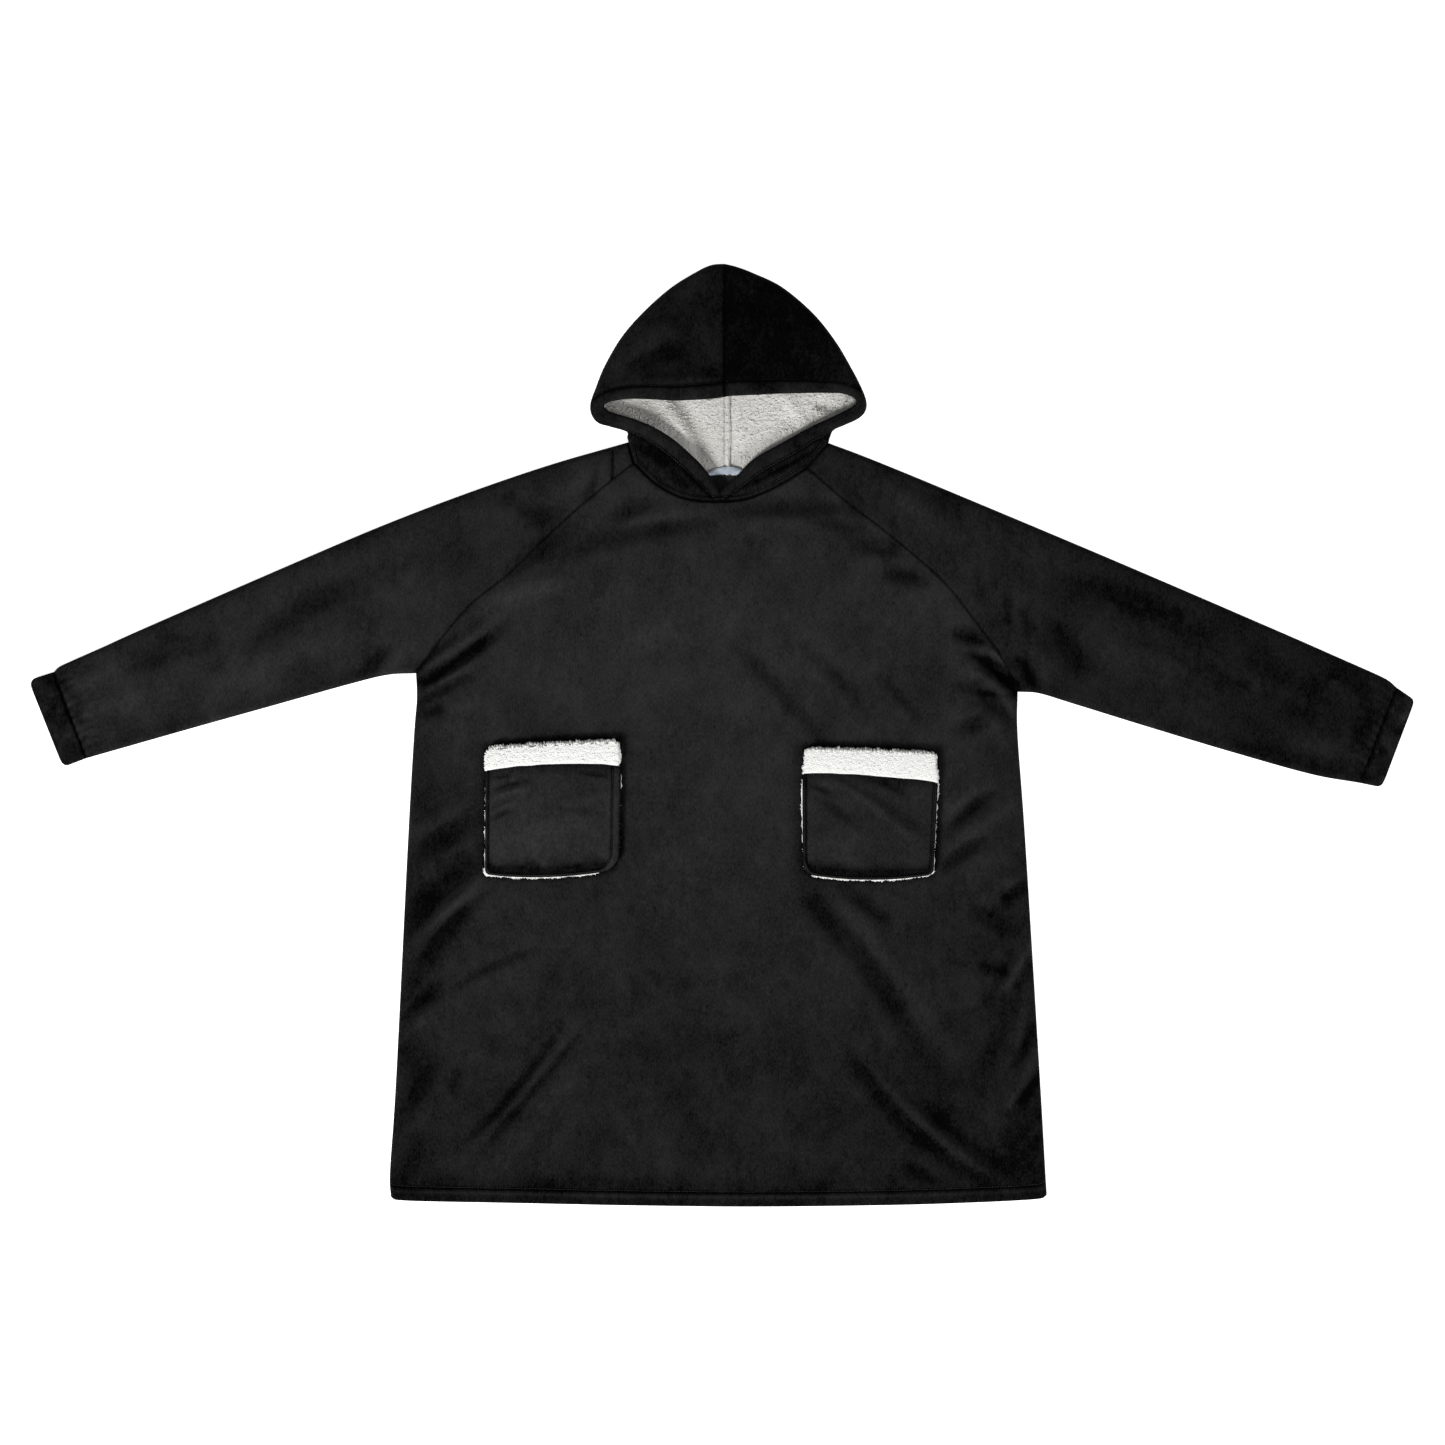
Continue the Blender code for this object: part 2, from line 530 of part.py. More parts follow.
def cuff(name, seam_top, seam_low, end_top, end_low, cuff_way):
    """A cuff: a flattened band of cloth, closed all round, from the sleeve's end outwards."""
    start_top = metres(seam_top) - cuff_way * GAP / 2
    start_low = metres(seam_low) - cuff_way * GAP / 2
    length = (metres(end_top) - start_top).length
    rings = []
    for distance in AT_CUFF_START + [length - way_in for way_in in reversed(AT_CUFF_END)]:
        high = start_top.lerp(metres(end_top), distance / length)
        low = start_low.lerp(metres(end_low), distance / length)
        width = (low - high).length
        fold = (low - high).normalized()
        puff = HEM_PUFF * sin(pi * distance / length) + groove(distance, SEAM_DEPTH, SEAM_WIDTH)
        height = FRONT_TOP + puff
        upper, lower = [], []
        for across in spread(width, AT_ROLL, 1, AT_ROLL):
            plan = high.lerp(low, across / width)
            way = fold if across < width / 2 else -fold
            edge = min(across, width - across)
            upper.append(round_free_edge(*upper_layer(plan, height, edge, way), length - distance))
            lower.append(round_free_edge(*lower_layer(plan, edge, way), length - distance))
        rings.append(upper + lower[-2::-1])
    return cloth(name, [rings], flannel, closed=True)


def hood_height(plan, from_edge, length):
    """Upper side of the hood's front layer: the mouth's lift, its turned edge, folds and seams."""
    up = plan.y - MOUTH_LINE
    across = 1.0 - (plan.x / MOUTH_HALF) ** 2
    if up > 0.0:
        lift = MOUTH_LIFT * max(across, 0.0) * exp(-(up / MOUTH_DEPTH) ** 2)
    else:
        share = min(-up / MOUTH_DROP, 1.0)
        lift = MOUTH_LIFT * max(across, 0.0) * (1.0 - share) + FRONT_LIFT * share
    if abs(plan.x) > MOUTH_CORNER or up < -MOUTH_DROP / 2:
        lift = min(lift, CORNER_LIFT)
    neck = distance_to(plan, front_neck_line)
    centre = abs(plan.x - HOOD_PEAK.x * CM)
    hem = turned_edge(from_edge, HOOD_HEM) * min(length / SHORT_SECTION, 1.0)
    folds = fold_height(plan, HOOD_CREASES)
    seams = groove(neck, SEAM_DEPTH, SEAM_WIDTH)
    if up > 0.0:
        seams += groove(centre, SEAM_DEPTH, SEAM_WIDTH)
    return HOOD_TOP + lift + hem + folds + seams


def hood_outline(rows, side):
    """The outline points of a hood half, and the points one roll's radius in from them."""
    rim = [Vector((row.rim_x * CM, row.rim_y * CM)) for row in rows]
    rim[0].x += side * GAP / 2
    knees = [point + inward(rim, index, -side) * ROLL for index, point in enumerate(rim)]
    knees[0] = rim[0] - Vector((0.0, ROLL))
    corner = rows[-1]
    knees[-1] = rim[-1] + (Vector((corner.edge_x * CM, corner.edge_y * CM)) - rim[-1]).normalized() * ROLL
    return rim, knees


def neck_row(neck_side, neck, shares_along, starts, side):
    """Points down the neck's side and on along a neck seam to the middle, clear of that seam."""
    corner = neck.at(shares_along[0])
    way = (corner - metres(neck_side)).normalized()
    line = [metres(neck_side) + way * distance for distance in starts]
    line += [neck.at(share) for share in shares_along]
    line = clear_of_seam(line, -side)
    line[-1].x += side * GAP / 2
    return line


def back_sections(rows, rim, knees, last_row, starts, count, side):
    """Plan points of the hood's back layer: from the outline, in past the knee, to the back seam."""
    sections = []
    for row, start, knee in zip(rows[:-1], rim, knees):
        way = (knee - start).normalized()
        middle = Vector((HOOD_PEAK.x * CM + side * GAP / 2, row.back_y * CM))
        begin = start + way * starts[-1]
        section = [start + way * distance for distance in starts]
        section += [begin.lerp(middle, (step + 1) / count) for step in range(count)]
        sections.append(section)
    return sections + [last_row]


def hood_half(name, rows, front_edge, front_neck, back_neck, neck_side, side):
    """A hood half: its front layer from the mouth's edge to the outline, folded over to its back layer."""
    rim, knees = hood_outline(rows, side)
    edge = [Vector((row.edge_x * CM, row.edge_y * CM)) for row in rows]
    edge[0].x += side * GAP / 2
    seam = neck_row(neck_side, front_neck, NECK_STATIONS, [0.0] + AT_ROLL[2:], side)
    corner_edge = metres(front_edge[0])
    edge += [edge[-1].lerp(corner_edge, share) for share in (0.2, 0.45)]
    edge += [metres(point) for point in front_edge]
    edge[-1].x += side * GAP / 2
    front = []
    for index, start in enumerate(edge):
        if index < len(rows):
            end, knee = rim[index], knees[index]
            at = shares((knee - start).length, AT_HOOD_HEM, 2, [0.0])
            plans = [start.lerp(knee, share) for share in at]
            plans += [knee.lerp(end, 1.0 - distance / ROLL) for distance in AT_ROLL[-2::-1]]
            way = (knee - end).normalized()
        else:
            end = seam[index - len(rows) + 1]
            at = shares((end - start).length, AT_HOOD_HEM, 2, AT_ROLL)
            plans = [start.lerp(end, share) for share in at]
            way = None
        length = (end - start).length
        section = []
        for plan in plans:
            from_edge = (plan - start).length
            height = hood_height(plan, from_edge, length)
            pair = upper_layer(plan, height, distance_to(plan, rim), way)
            section.append(round_free_edge(*pair, from_edge))
        front.append(section)
    last_row = neck_row(neck_side, back_neck, BACK_SHARES[::-1], AT_ROLL, side)
    last_row[0] = rim[-1]
    back = []
    for line in back_sections(rows, rim, knees, last_row, AT_ROLL, len(BACK_SHARES), side):
        way = (line[1] - line[0]).normalized()
        back.append([lower_layer(plan, distance_to(plan, rim), way, FLANNEL) for plan in line])
    for along, across in zip(front, back):
        across[0] = along[-1]
    return cloth(name, [front, back], flannel)


def hood_lining(name, rows, back_neck, neck_side, side):
    """A lining half: sherpa on the hood's back layer, from just inside its fold to the back neck."""
    rim, knees = hood_outline(rows, side)
    starts = [ROLL + LINING_INSET + distance for distance in (0.0, 1.0 * MM, 4.0 * MM)]
    neck_starts = [distance + LINING_INSET for distance in starts]
    last_row = neck_row(neck_side, back_neck, BACK_SHARES[::-1], neck_starts, side)
    sections = []
    for line in back_sections(rows, rim, knees, last_row, starts, len(BACK_SHARES), side):
        section = []
        for plan in line:
            centre = groove(abs(plan.x - HOOD_PEAK.x * CM), LINING_SEAM_DEPTH, SEAM_WIDTH)
            top = FLANNEL + GAP + SHERPA + fold_height(plan, [LINING_FOLD]) + centre
            outer = Vector((plan.x, plan.y, top))
            inner = Vector((plan.x, plan.y, FLANNEL + GAP))
            section.append(round_free_edge(outer, inner, (plan - line[0]).length))
        sections.append(section)
    return cloth(name, [sections], sherpa)


def four_sided(corners, columns, rows, sag):
    """Points of a four-sided patch with a rounded lower edge, from shares across and up it."""
    low_left, low_right, high_right, high_left = [metres(point) for point in corners]
    patch = []
    for across in columns:
        low = low_left.lerp(low_right, across)
        low.y -= sag * CM * sin(pi * across) ** POCKET_ROUNDING
        high = high_left.lerp(high_right, across)
        patch.append([low.lerp(high, up) for up in rows])
    return patch


def shares(length, near, between, far):
    return [distance / length for distance in spread(length, near, between, far)]


def pocket(name, table):
    """A black patch pocket over its lining, stitched down at its sides and bottom."""
    corners = table["patch"]
    width = (metres(corners[1]) - metres(corners[0])).length
    height = (metres(corners[3]) - metres(corners[0])).length
    at_side = [0.0, 1.0 * MM, 4.0 * MM, POCKET_STITCH]
    columns = shares(width, at_side, 3, at_side)
    rows = shares(height, at_side, 3, at_side[:3])
    under = FRONT_TOP + GAP + POCKET_SHERPA + GAP
    sections = []
    for across, line in zip(columns, four_sided(corners, columns, rows, table["sag"])):
        section = []
        for up, plan in zip(rows, line):
            edge = min(across * width, (1.0 - across) * width, up * height)
            puff = POCKET_CROWN * sqrt(sin(pi * across) * sin(pi * min(up, 0.9)))
            stitch = groove(edge - POCKET_STITCH, POCKET_STITCH_DEPTH, STITCH_WIDTH)
            outer = Vector((plan.x, plan.y, under + POCKET_PATCH + puff + stitch))
            inner = Vector((plan.x, plan.y, under))
            to_edge = min(edge, (1.0 - up) * height)
            section.append(round_free_edge(outer, inner, to_edge))
        sections.append(section)
    return cloth(name, [sections], flannel)


def pocket_lining(name, table):
    """Sherpa under a patch, a little wider than it, and turned over its top as a band."""
    low_left, low_right, patch_right, patch_left = [metres(point) for point in table["patch"]]
    band_high_right, band_high_left = metres(table["band"][2]), metres(table["band"][3])
    height = (patch_left - low_left).length
    band = (band_high_left - patch_left).length
    width = (low_right - low_left).length
    at_side = [0.0, 1.2 * MM, 5.0 * MM]
    columns = shares(width, at_side, 3, at_side)
    clear = 1.5 * GAP
    levels = [share * (1.0 + clear / height) for share in shares(height, at_side, 2, [0.0])]
    over = [(distance + 2.0 * clear) / band for distance in (0.0, 2.0 * MM, 7.0 * MM)]
    over += [1.0 - distance / band for distance in reversed(at_side)]
    high = FRONT_TOP + GAP + POCKET_SHERPA + GAP + POCKET_PATCH
    sections = []
    for across in columns:
        low = low_left.lerp(low_right, across)
        low.y -= table["sag"] * CM * sin(pi * across) ** POCKET_ROUNDING
        top = patch_left.lerp(patch_right, across)
        crest = band_high_left.lerp(band_high_right, across)
        spare = Vector(((across - 0.5) * 2.0 * PEEK, 0.0))
        section = []
        for up in levels:
            plan = low.lerp(top, up) + spare
            plan.y -= PEEK * (1.0 - up)
            outer = Vector((plan.x, plan.y, FRONT_TOP + GAP + POCKET_SHERPA))
            inner = Vector((plan.x, plan.y, FRONT_TOP + GAP))
            edge = min(across * width, (1.0 - across) * width, up * height)
            section.append(round_free_edge(outer, inner, edge))
        for up in over:
            plan = top.lerp(crest, up) + spare
            puff = HEM_PUFF * sin(pi * up)
            outer = Vector((plan.x, plan.y, high + puff))
            inner = Vector((plan.x, plan.y, FRONT_TOP + GAP))
            edge = min(across * width, (1.0 - across) * width, (1.0 - up) * band)
            section.append(round_free_edge(outer, inner, edge))
        sections.append(section)
    return cloth(name, [sections], sherpa)


def neck_label():
    """The small bare label, bent into a low crescent on the lining at the back neck."""
    base = FLANNEL + GAP + SHERPA + GAP
    count = 8
    sections = []
    for across in [step / count for step in range(count + 1)]:
        x = LABEL_LEFT + LABEL_WIDTH * across
        section = []
        for up in (0.0, 0.35, 0.7, 1.0):
            y = LABEL_LOW + LABEL_BOW * sin(pi * across) + LABEL_HEIGHT * up
            height = base + LABEL_THICK + LABEL_BULGE * sin(pi * up)
            section.append((Vector((x, y, height)), Vector((x, y, base))))
        sections.append(section)
    return cloth("neck_label", [sections], label)


for old in list(bpy.data.objects):
    bpy.data.objects.remove(old)
garment = bpy.data.collections.new("blanket_hoodie")
bpy.context.scene.collection.children.link(garment)

flannel = material("black_flannel_fleece", (0.013, 0.013, 0.014), 0.95)
sherpa = material("white_sherpa", (0.80, 0.79, 0.75), 1.0)
label = material("pale_label", (0.70, 0.75, 0.80), 0.7)

side_left = Curve(SIDE_LEFT)
side_right = Curve(SIDE_RIGHT)
hem_line = Curve(HEM_LINE)
raglan_left = Curve(RAGLAN_LEFT)
raglan_right = Curve(RAGLAN_RIGHT)
front_neck_left = Curve(FRONT_NECK_LEFT)
front_neck_right = Curve(FRONT_NECK_RIGHT)
back_neck_left = Curve(BACK_NECK_LEFT)
back_neck_right = Curve(BACK_NECK_RIGHT)
front_neck_line = (
    [metres(NECK_SIDE_LEFT)] + front_neck_left.line + front_neck_right.line[::-1] + [metres(NECK_SIDE_RIGHT)]
)
neck_front_left = [front_neck_left.at(share) for share in NECK_STATIONS]
neck_front_right = [front_neck_right.at(share) for share in NECK_STATIONS]
neck_back_left = [back_neck_left.at(share) for share in BACK_SHARES]
neck_back_right = [back_neck_right.at(share) for share in BACK_SHARES]

front_panel()
back_panel()
left_way = (metres(CUFF_SEAM_TOP_LEFT) - metres(CUFF_END_TOP_LEFT)).normalized()
right_way = (metres(CUFF_SEAM_TOP_RIGHT) - metres(CUFF_END_TOP_RIGHT)).normalized()
sleeve("sleeve_left", Curve(SLEEVE_TOP_LEFT), Curve(UNDERARM_LEFT), raglan_left,
       TOP_AT_ARMPIT_LEFT, left_way, 1)
sleeve("sleeve_right", Curve(SLEEVE_TOP_RIGHT), Curve(UNDERARM_RIGHT), raglan_right,
       TOP_AT_ARMPIT_RIGHT, right_way, -1)
cuff("cuff_left", CUFF_SEAM_TOP_LEFT, CUFF_SEAM_LOW_LEFT, CUFF_END_TOP_LEFT, CUFF_END_LOW_LEFT, left_way)
cuff("cuff_right", CUFF_SEAM_TOP_RIGHT, CUFF_SEAM_LOW_RIGHT, CUFF_END_TOP_RIGHT, CUFF_END_LOW_RIGHT,
     right_way)
hood_rows_left = with_sections_between(HOOD_ROWS_LEFT)
hood_rows_right = with_sections_between(HOOD_ROWS_RIGHT)
hood_half("hood_left", hood_rows_left, FRONT_EDGE_LEFT, front_neck_left, back_neck_left,
          NECK_SIDE_LEFT, -1)
hood_half("hood_right", hood_rows_right, FRONT_EDGE_RIGHT, front_neck_right, back_neck_right,
          NECK_SIDE_RIGHT, 1)
hood_lining("hood_lining_left", hood_rows_left, back_neck_left, NECK_SIDE_LEFT, -1)
hood_lining("hood_lining_right", hood_rows_right, back_neck_right, NECK_SIDE_RIGHT, 1)
pocket("pocket_left", POCKET_LEFT)
pocket("pocket_right", POCKET_RIGHT)
pocket_lining("pocket_lining_left", POCKET_LEFT)
pocket_lining("pocket_lining_right", POCKET_RIGHT)
neck_label()
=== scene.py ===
"""Looks of the wearable blanket hoodie: black flannel fleece, white sherpa, its sewing, folds and light.

Metres, +Z up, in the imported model's frame, with the hem along -Y and the hood along +Y.
Plan tables are in centimetres, and the heights of folds and marks are in millimetres.
"""

from collections import namedtuple
from math import pi

import bmesh
import bpy
import numpy as np
from mathutils import Matrix, Vector


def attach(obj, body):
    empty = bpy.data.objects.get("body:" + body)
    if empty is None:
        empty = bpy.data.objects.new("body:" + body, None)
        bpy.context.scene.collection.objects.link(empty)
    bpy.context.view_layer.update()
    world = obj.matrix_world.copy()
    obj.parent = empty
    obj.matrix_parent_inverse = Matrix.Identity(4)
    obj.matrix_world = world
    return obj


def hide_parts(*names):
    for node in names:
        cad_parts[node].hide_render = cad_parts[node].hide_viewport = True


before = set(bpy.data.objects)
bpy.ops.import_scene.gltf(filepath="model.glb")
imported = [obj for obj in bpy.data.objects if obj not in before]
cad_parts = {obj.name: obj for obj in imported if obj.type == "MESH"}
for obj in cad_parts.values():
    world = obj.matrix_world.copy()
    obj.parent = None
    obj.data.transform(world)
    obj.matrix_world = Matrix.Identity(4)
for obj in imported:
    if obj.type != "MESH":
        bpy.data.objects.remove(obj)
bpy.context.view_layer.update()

CM = 0.01
MM = 0.001

# Cloth and layers
WALL = 7.0 * MM              # flannel and sherpa together
FLANNEL = 2.5 * MM           # the outer cloth alone
SHERPA = 4.5 * MM            # the hood's lining
GAP = 0.3 * MM               # between two layers that lie on each other
MIDDLE = 8.0 * MM            # height at which the front and back layers meet
ROLL = 8.0 * MM              # radius of the roll along the outline
RIM = 0.8 * MM               # least height of a layer at the outline
FRONT_TOP = 16.0 * MM        # upper side of the front layer where it lies smooth
HOOD_TOP = 17.0 * MM         # upper side of the hood's front layer where it lies smooth

# Seams and turned edges
SEAM_DEPTH = 2.6 * MM
SEAM_WIDTH = 1.7 * MM
SEAM_DIP = 0.9 * MM          # the cloth sinks this much on both sides of a seam
SEAM_DIP_WIDTH = 7.0 * MM
RAGLAN_SHARE = 0.55          # a raglan seam lies flatter than the neck seam
HEM = 18.5 * MM              # from the garment's bottom edge to its stitches
HOOD_HEM = 19.0 * MM         # from the hood's edge to its stitches
HEM_PUFF = 2.0 * MM
HOOD_HEM_PAINTED_LIGHT = 0.62          # painted highlight: the hood's turned hem is painted about this light or lighter
STITCH_DEPTH = 2.4 * MM
STITCH_WIDTH = 1.7 * MM
STITCH = 3.4 * MM            # from one stitch to the next
THREAD = 0.42 * MM           # half of a thread's thickness
NECK_STITCH = 5.4 * MM       # from the neck seam to the stitches on the hood beside it
NECK_STITCHES = (2.2 * MM, 1.3 * MM)    # depth and width of the groove at those stitches
NECK_RIDGE = (-1.0 * MM, 1.6 * MM)      # the cloth stands up between them and the neck seam
DART_GROOVE = (2.4 * MM, 2.0 * MM)
DART_DIP = (0.8 * MM, 8.0 * MM)
PATCH_STITCHES = (2.3 * MM, 1.3 * MM)
LINING_SEAM = (1.0 * MM, 1.5 * MM)
RIDGE = (-1.9 * MM, 1.9 * MM)           # the lining's seam allowance stands up on its right half
RIDGE_FROM_SEAM = 4.2 * MM
RIDGE_STITCHES = (2.0 * MM, 1.5 * MM)
RIDGE_TO_STITCHES = 3.8 * MM
FREE_EDGE = 3.2 * MM         # rounding of an edge that is sewn to nothing
EDGE_LEFT = 0.16             # share of the wall's thickness left at such an edge
FOLD_GAIN = 1.6              # over the heights in the tables of folds
FOLD_NARROW = 0.85           # over their widths
FOLD_TAIL = 0.3              # a fold fades out by this share of its length past its ends
TROUGH_LIMIT = 4.4 * MM      # a trough goes no deeper
PAINTED_LIGHT_ON_RIDGES = 0.26         # painted highlight: the cloth is painted this much lighter on a ridge
PAINTED_SHADE_IN_TROUGHS = 1.08        # and painted shade makes it this much darker in a trough, both as powers of e
PAINTED_SHADE_FOLD = 2.4 * MM          # height of a fold that shows most of that painted light and shade
LEAST_WALL = 1.8 * MM        # of a layer in the deepest troughs
GATHER = 0.7 * MM            # height of the puckers at a cuff
GATHER_PITCH = 11.0 * MM
GATHER_REACH = 28.0 * MM

# Painted shade in the grooves of seams and stitches, along edges and beside pockets: over this width, by this
# share of the lightness
DARK_AT_RAGLAN = (1.6 * MM, 0.6)
DARK_AT_NECK = (2.2 * MM, 0.9)
DARK_AT_SIDE = (5.0 * CM, 0.34)
DARK_AT_HEM = (2.8 * MM, 0.97)
DARK_AT_DART = (2.0 * MM, 0.95)
DARK_ALONG_SLEEVE = (2.0 * CM, 0.3)
DARK_AT_SLEEVE_END = (2.6 * MM, 0.85)
DARK_AT_CUFF_SEAM = (2.4 * MM, 0.8)
DARK_AT_CUFF_END = (5.0 * MM, 0.4)
DARK_AT_CROWN_SEAM = (2.1 * MM, 0.95)
DARK_AT_HOOD_HEM = (2.7 * MM, 0.97)
DARK_PAST_HOOD_HEM = (4.0 * MM, 0.25)
DARK_AT_HOOD_NECK = (2.0 * MM, 0.9)
DARK_AT_NECK_STITCH = (1.8 * MM, 0.95)
DARK_BESIDE_PATCH = (4.2 * MM, 0.85)
DARK_ROUND_PATCH = (11.0 * MM, 0.2)
DARK_AT_PATCH_EDGE = (1.8 * MM, 0.8)
DARK_AT_PATCH_STITCH = (1.6 * MM, 0.97)
HEM_LOWEST = 0.24            # painted shade: share of the lightness left at the hem's rolled edge
HEM_RISE = 0.42              # and what it gains up to the stitches
HEM_PAINTED_HIGHLIGHT = 0.85        # gain of the painted highlight just below the stitches
HEM_HIGHLIGHT_WIDTH = 2.6 * MM
OVER_HEM_PAINTED_SHADE = 0.45         # painted shade: share lost just over the hem
CHEST_TO_HEM_PAINTED_SHADE = 0.4      # painted shade: share lost from the chest down to the hem
CHEST = 10.0 * CM
CHEST_TO_HEM = 55.0 * CM

# Waves of soft cloth and raggedness, each as height or strength, size of a lump, and seed
UNEVENNESS = [(0.55 * MM, 5.5 * CM, 3), (0.3 * MM, 2.2 * CM, 4)]
SEAM_PUCKER = [(0.25 * MM, 8.0 * MM, 5)]
HEM_WAVE = [(0.35 * MM, 1.3 * CM, 6)]
SLEEVE_GATHERS = [(1.5, 2.0 * CM, 8)]
CUFF_GATHERS = [(1.5, 2.0 * CM, 9)]
CUFF_BLOTCHES = [(0.9, 1.1 * CM, 35), (0.4, 5.0 * MM, 36)]
HOOD_HEM_WAVE = [(0.4 * MM, 1.4 * CM, 10)]
HOOD_HEM_CLOUDS = [(0.3, 2.0 * CM, 33)]
LINING_WAVES = [(0.5 * MM, 2.4 * CM, 14)]
RIDGE_WOBBLE = [(1.2 * MM, 1.6 * CM, 15)]
RAGGED_MARKS = [(0.35, 9.0 * MM, 40), (0.2, 4.0 * MM, 41)]
PATCH_WAVES = [(0.3 * MM, 8.0 * MM, 21)]

# Hood mouth
MOUTH_LIFT = 12.0 * MM       # how far the crown's edge stands over the smooth hood
MOUTH_DEPTH = 10.0 * CM      # how far up the hood that lift fades
MOUTH_HALF = 17.0 * CM       # half the width over which it fades
MOUTH_LINE = 42.0 * CM       # where the crown's edge crosses the middle
MOUTH_DROP = 4.0 * CM        # how far below that line the lift ends
MOUTH_CORNER = 10.2 * CM     # from here out the two layers of the hood lie close
FRONT_LIFT = 2.0 * MM        # the hood's lower fronts lie over the back neck
CORNER_LIFT = 4.0 * MM
SHORT_SECTION = 3.0 * CM     # a section shorter than this has a flatter hem
LINING_INSET = 3.0 * MM      # the lining ends this far inside the roll along the outline

# Pockets
POCKET_SHERPA = 3.0 * MM
POCKET_PATCH = 4.0 * MM
POCKET_CROWN = 2.5 * MM      # how far a patch stands up in its middle
POCKET_ROUNDING = 0.7        # below 1 the lower edge is flat in the middle with round corners
TUCK = 1.3 * MM              # where it doesn't peek out, the pocket lining stays this far under the patch
BAND_CREST = 1.2 * MM        # how far the white band's upper edge bows up
BAND_WIDER = 0.4 * MM        # on each side than the patch
BAND_OVER = 0.6 * MM         # it stands this much higher than the patch's border
PLATEAU = 0.4 * CM           # the front lies smooth this far round a pocket
PLATEAU_FADE = 2.4 * CM

# Neck label, a low crescent
LABEL_THICK = 0.8 * MM
LABEL_LEFT = -2.1 * CM
LABEL_LOW = 32.3 * CM
LABEL_WIDTH = 5.2 * CM
LABEL_HEIGHT = 1.02 * CM
LABEL_BOW = 0.3 * CM

# Fineness of the meshes: distances from an end of a section, and points between
AT_ROLL = np.array([0.0, 0.25, 0.9, 2.0, 3.4, 5.0, 6.5, 8.0]) * MM
AT_SEAM = np.array([0.0, 0.6, 1.3, 2.2, 3.4, 5.0, 6.5, 8.0, 10.5]) * MM
AT_HEM = np.array([0.0, 0.3, 0.8, 1.8, 3.2, 5.8, 9.0, 12.5, 15.4, 17.3, 18.5, 19.7, 21.2, 24.0]) * MM
AT_HOOD_HEM = np.array([0.0, 0.3, 0.8, 1.8, 3.2, 6.0, 9.5, 13.0, 16.0, 17.8, 19.0, 20.2, 22.0, 25.0]) * MM
AT_PATCH = np.array([0.0, 0.3, 0.9, 1.8, 2.8, 3.8, 4.8, 5.8, 7.0, 8.4, 9.6, 10.8, 12.2]) * MM
AT_BAND = np.array([0.0, 0.4, 1.2, 2.6, 4.4]) * MM
AT_FOOT = np.array([0.0, 0.5, 1.4, 2.6, 4.0]) * MM
AT_LINING = np.array([0.0, 0.6, 1.6, 3.2]) * MM
AT_END = np.array([0.0])

Point = namedtuple("Point", "x y")
Section = namedtuple("Section", "edge_x edge_y rim_x rim_y back_y")
Crease = namedtuple("Crease", "x1 y1 x2 y2 width height bow")
Mark = namedtuple("Mark", "x1 y1 x2 y2 width shade")


def rows_of(kind, rows):
    """Rows of numbers as Sections, Creases or Marks, in the order of their names above."""
    return [kind(*row) for row in rows]


# Studio
FRAME_PIXELS = 1445          # of the photograph, on a side
PIXEL = 1.25 * MM            # what one of them shows
FRAME_MIDDLE = Point(0.06, 1.56)
LENS = 85.0
FLOOR_HALF = 20.0
FLOOR_DROP = 0.3 * MM        # the floor lies this far under the garment
WORLD_LIGHT = 0.20

# Points where several pieces meet
ARMPIT_LEFT = Point(-38.25, 7.7)
ARMPIT_RIGHT = Point(36.95, 5.4)
RAGLAN_TOP_LEFT = Point(-11.0, 34.0)
RAGLAN_TOP_RIGHT = Point(10.6, 33.4)
NECK_SIDE_LEFT = Point(-11.7, 36.6)
NECK_SIDE_RIGHT = Point(13.3, 36.5)
HEM_LEFT = Point(-41.4, -57.7)
HEM_RIGHT = Point(40.6, -57.5)
NECK_FRONT = Point(-1.0, 29.2)
NECK_BACK = Point(0.4, 32.5)
HOOD_PEAK = Point(0.3, 58.9)
CUFF_SEAM_TOP_LEFT = Point(-83.5, 7.9)
CUFF_SEAM_LOW_LEFT = Point(-79.4, -2.9)
CUFF_SEAM_TOP_RIGHT = Point(84.3, 5.95)
CUFF_SEAM_LOW_RIGHT = Point(79.7, -6.0)

# Cuff corners: the upper and the lower one at the seam, then those at its open end
CUFF_LEFT = [CUFF_SEAM_TOP_LEFT, CUFF_SEAM_LOW_LEFT, (-86.65, 6.9), (-82.3, -4.0)]
CUFF_RIGHT = [CUFF_SEAM_TOP_RIGHT, CUFF_SEAM_LOW_RIGHT, (86.55, 4.4), (82.4, -6.55)]

# Outlines, each from one meeting point to the next
SIDE_LEFT = [HEM_LEFT, (-41.5, -54.4), (-40.75, -43.1), (-39.25, -13.1), (-38.5, 0.0), (-38.15, 4.5),
             ARMPIT_LEFT]
SIDE_RIGHT = [HEM_RIGHT, (40.4, -54.4), (39.75, -43.1), (37.9, -13.1), (36.95, 0.0), ARMPIT_RIGHT]
HEM_LINE = [HEM_LEFT, (-39.8, -58.15), (-26.4, -58.45), (-11.4, -58.75), (4.1, -58.9), (18.6, -58.75),
            (28.6, -58.5), (39.0, -58.0), HEM_RIGHT]
SLEEVE_TOP_LEFT = [CUFF_SEAM_TOP_LEFT, (-82.9, 8.5), (-81.8, 9.05), (-77.4, 11.0), (-71.4, 13.7),
                   (-51.4, 22.4), (-41.4, 26.6), (-31.4, 30.4), (-21.4, 33.8), NECK_SIDE_LEFT]
SLEEVE_TOP_RIGHT = [CUFF_SEAM_TOP_RIGHT, (83.4, 6.75), (82.0, 7.5), (77.6, 9.45), (68.6, 13.4), (48.6, 22.0),
                    (28.6, 30.4), (18.6, 34.5), NECK_SIDE_RIGHT]
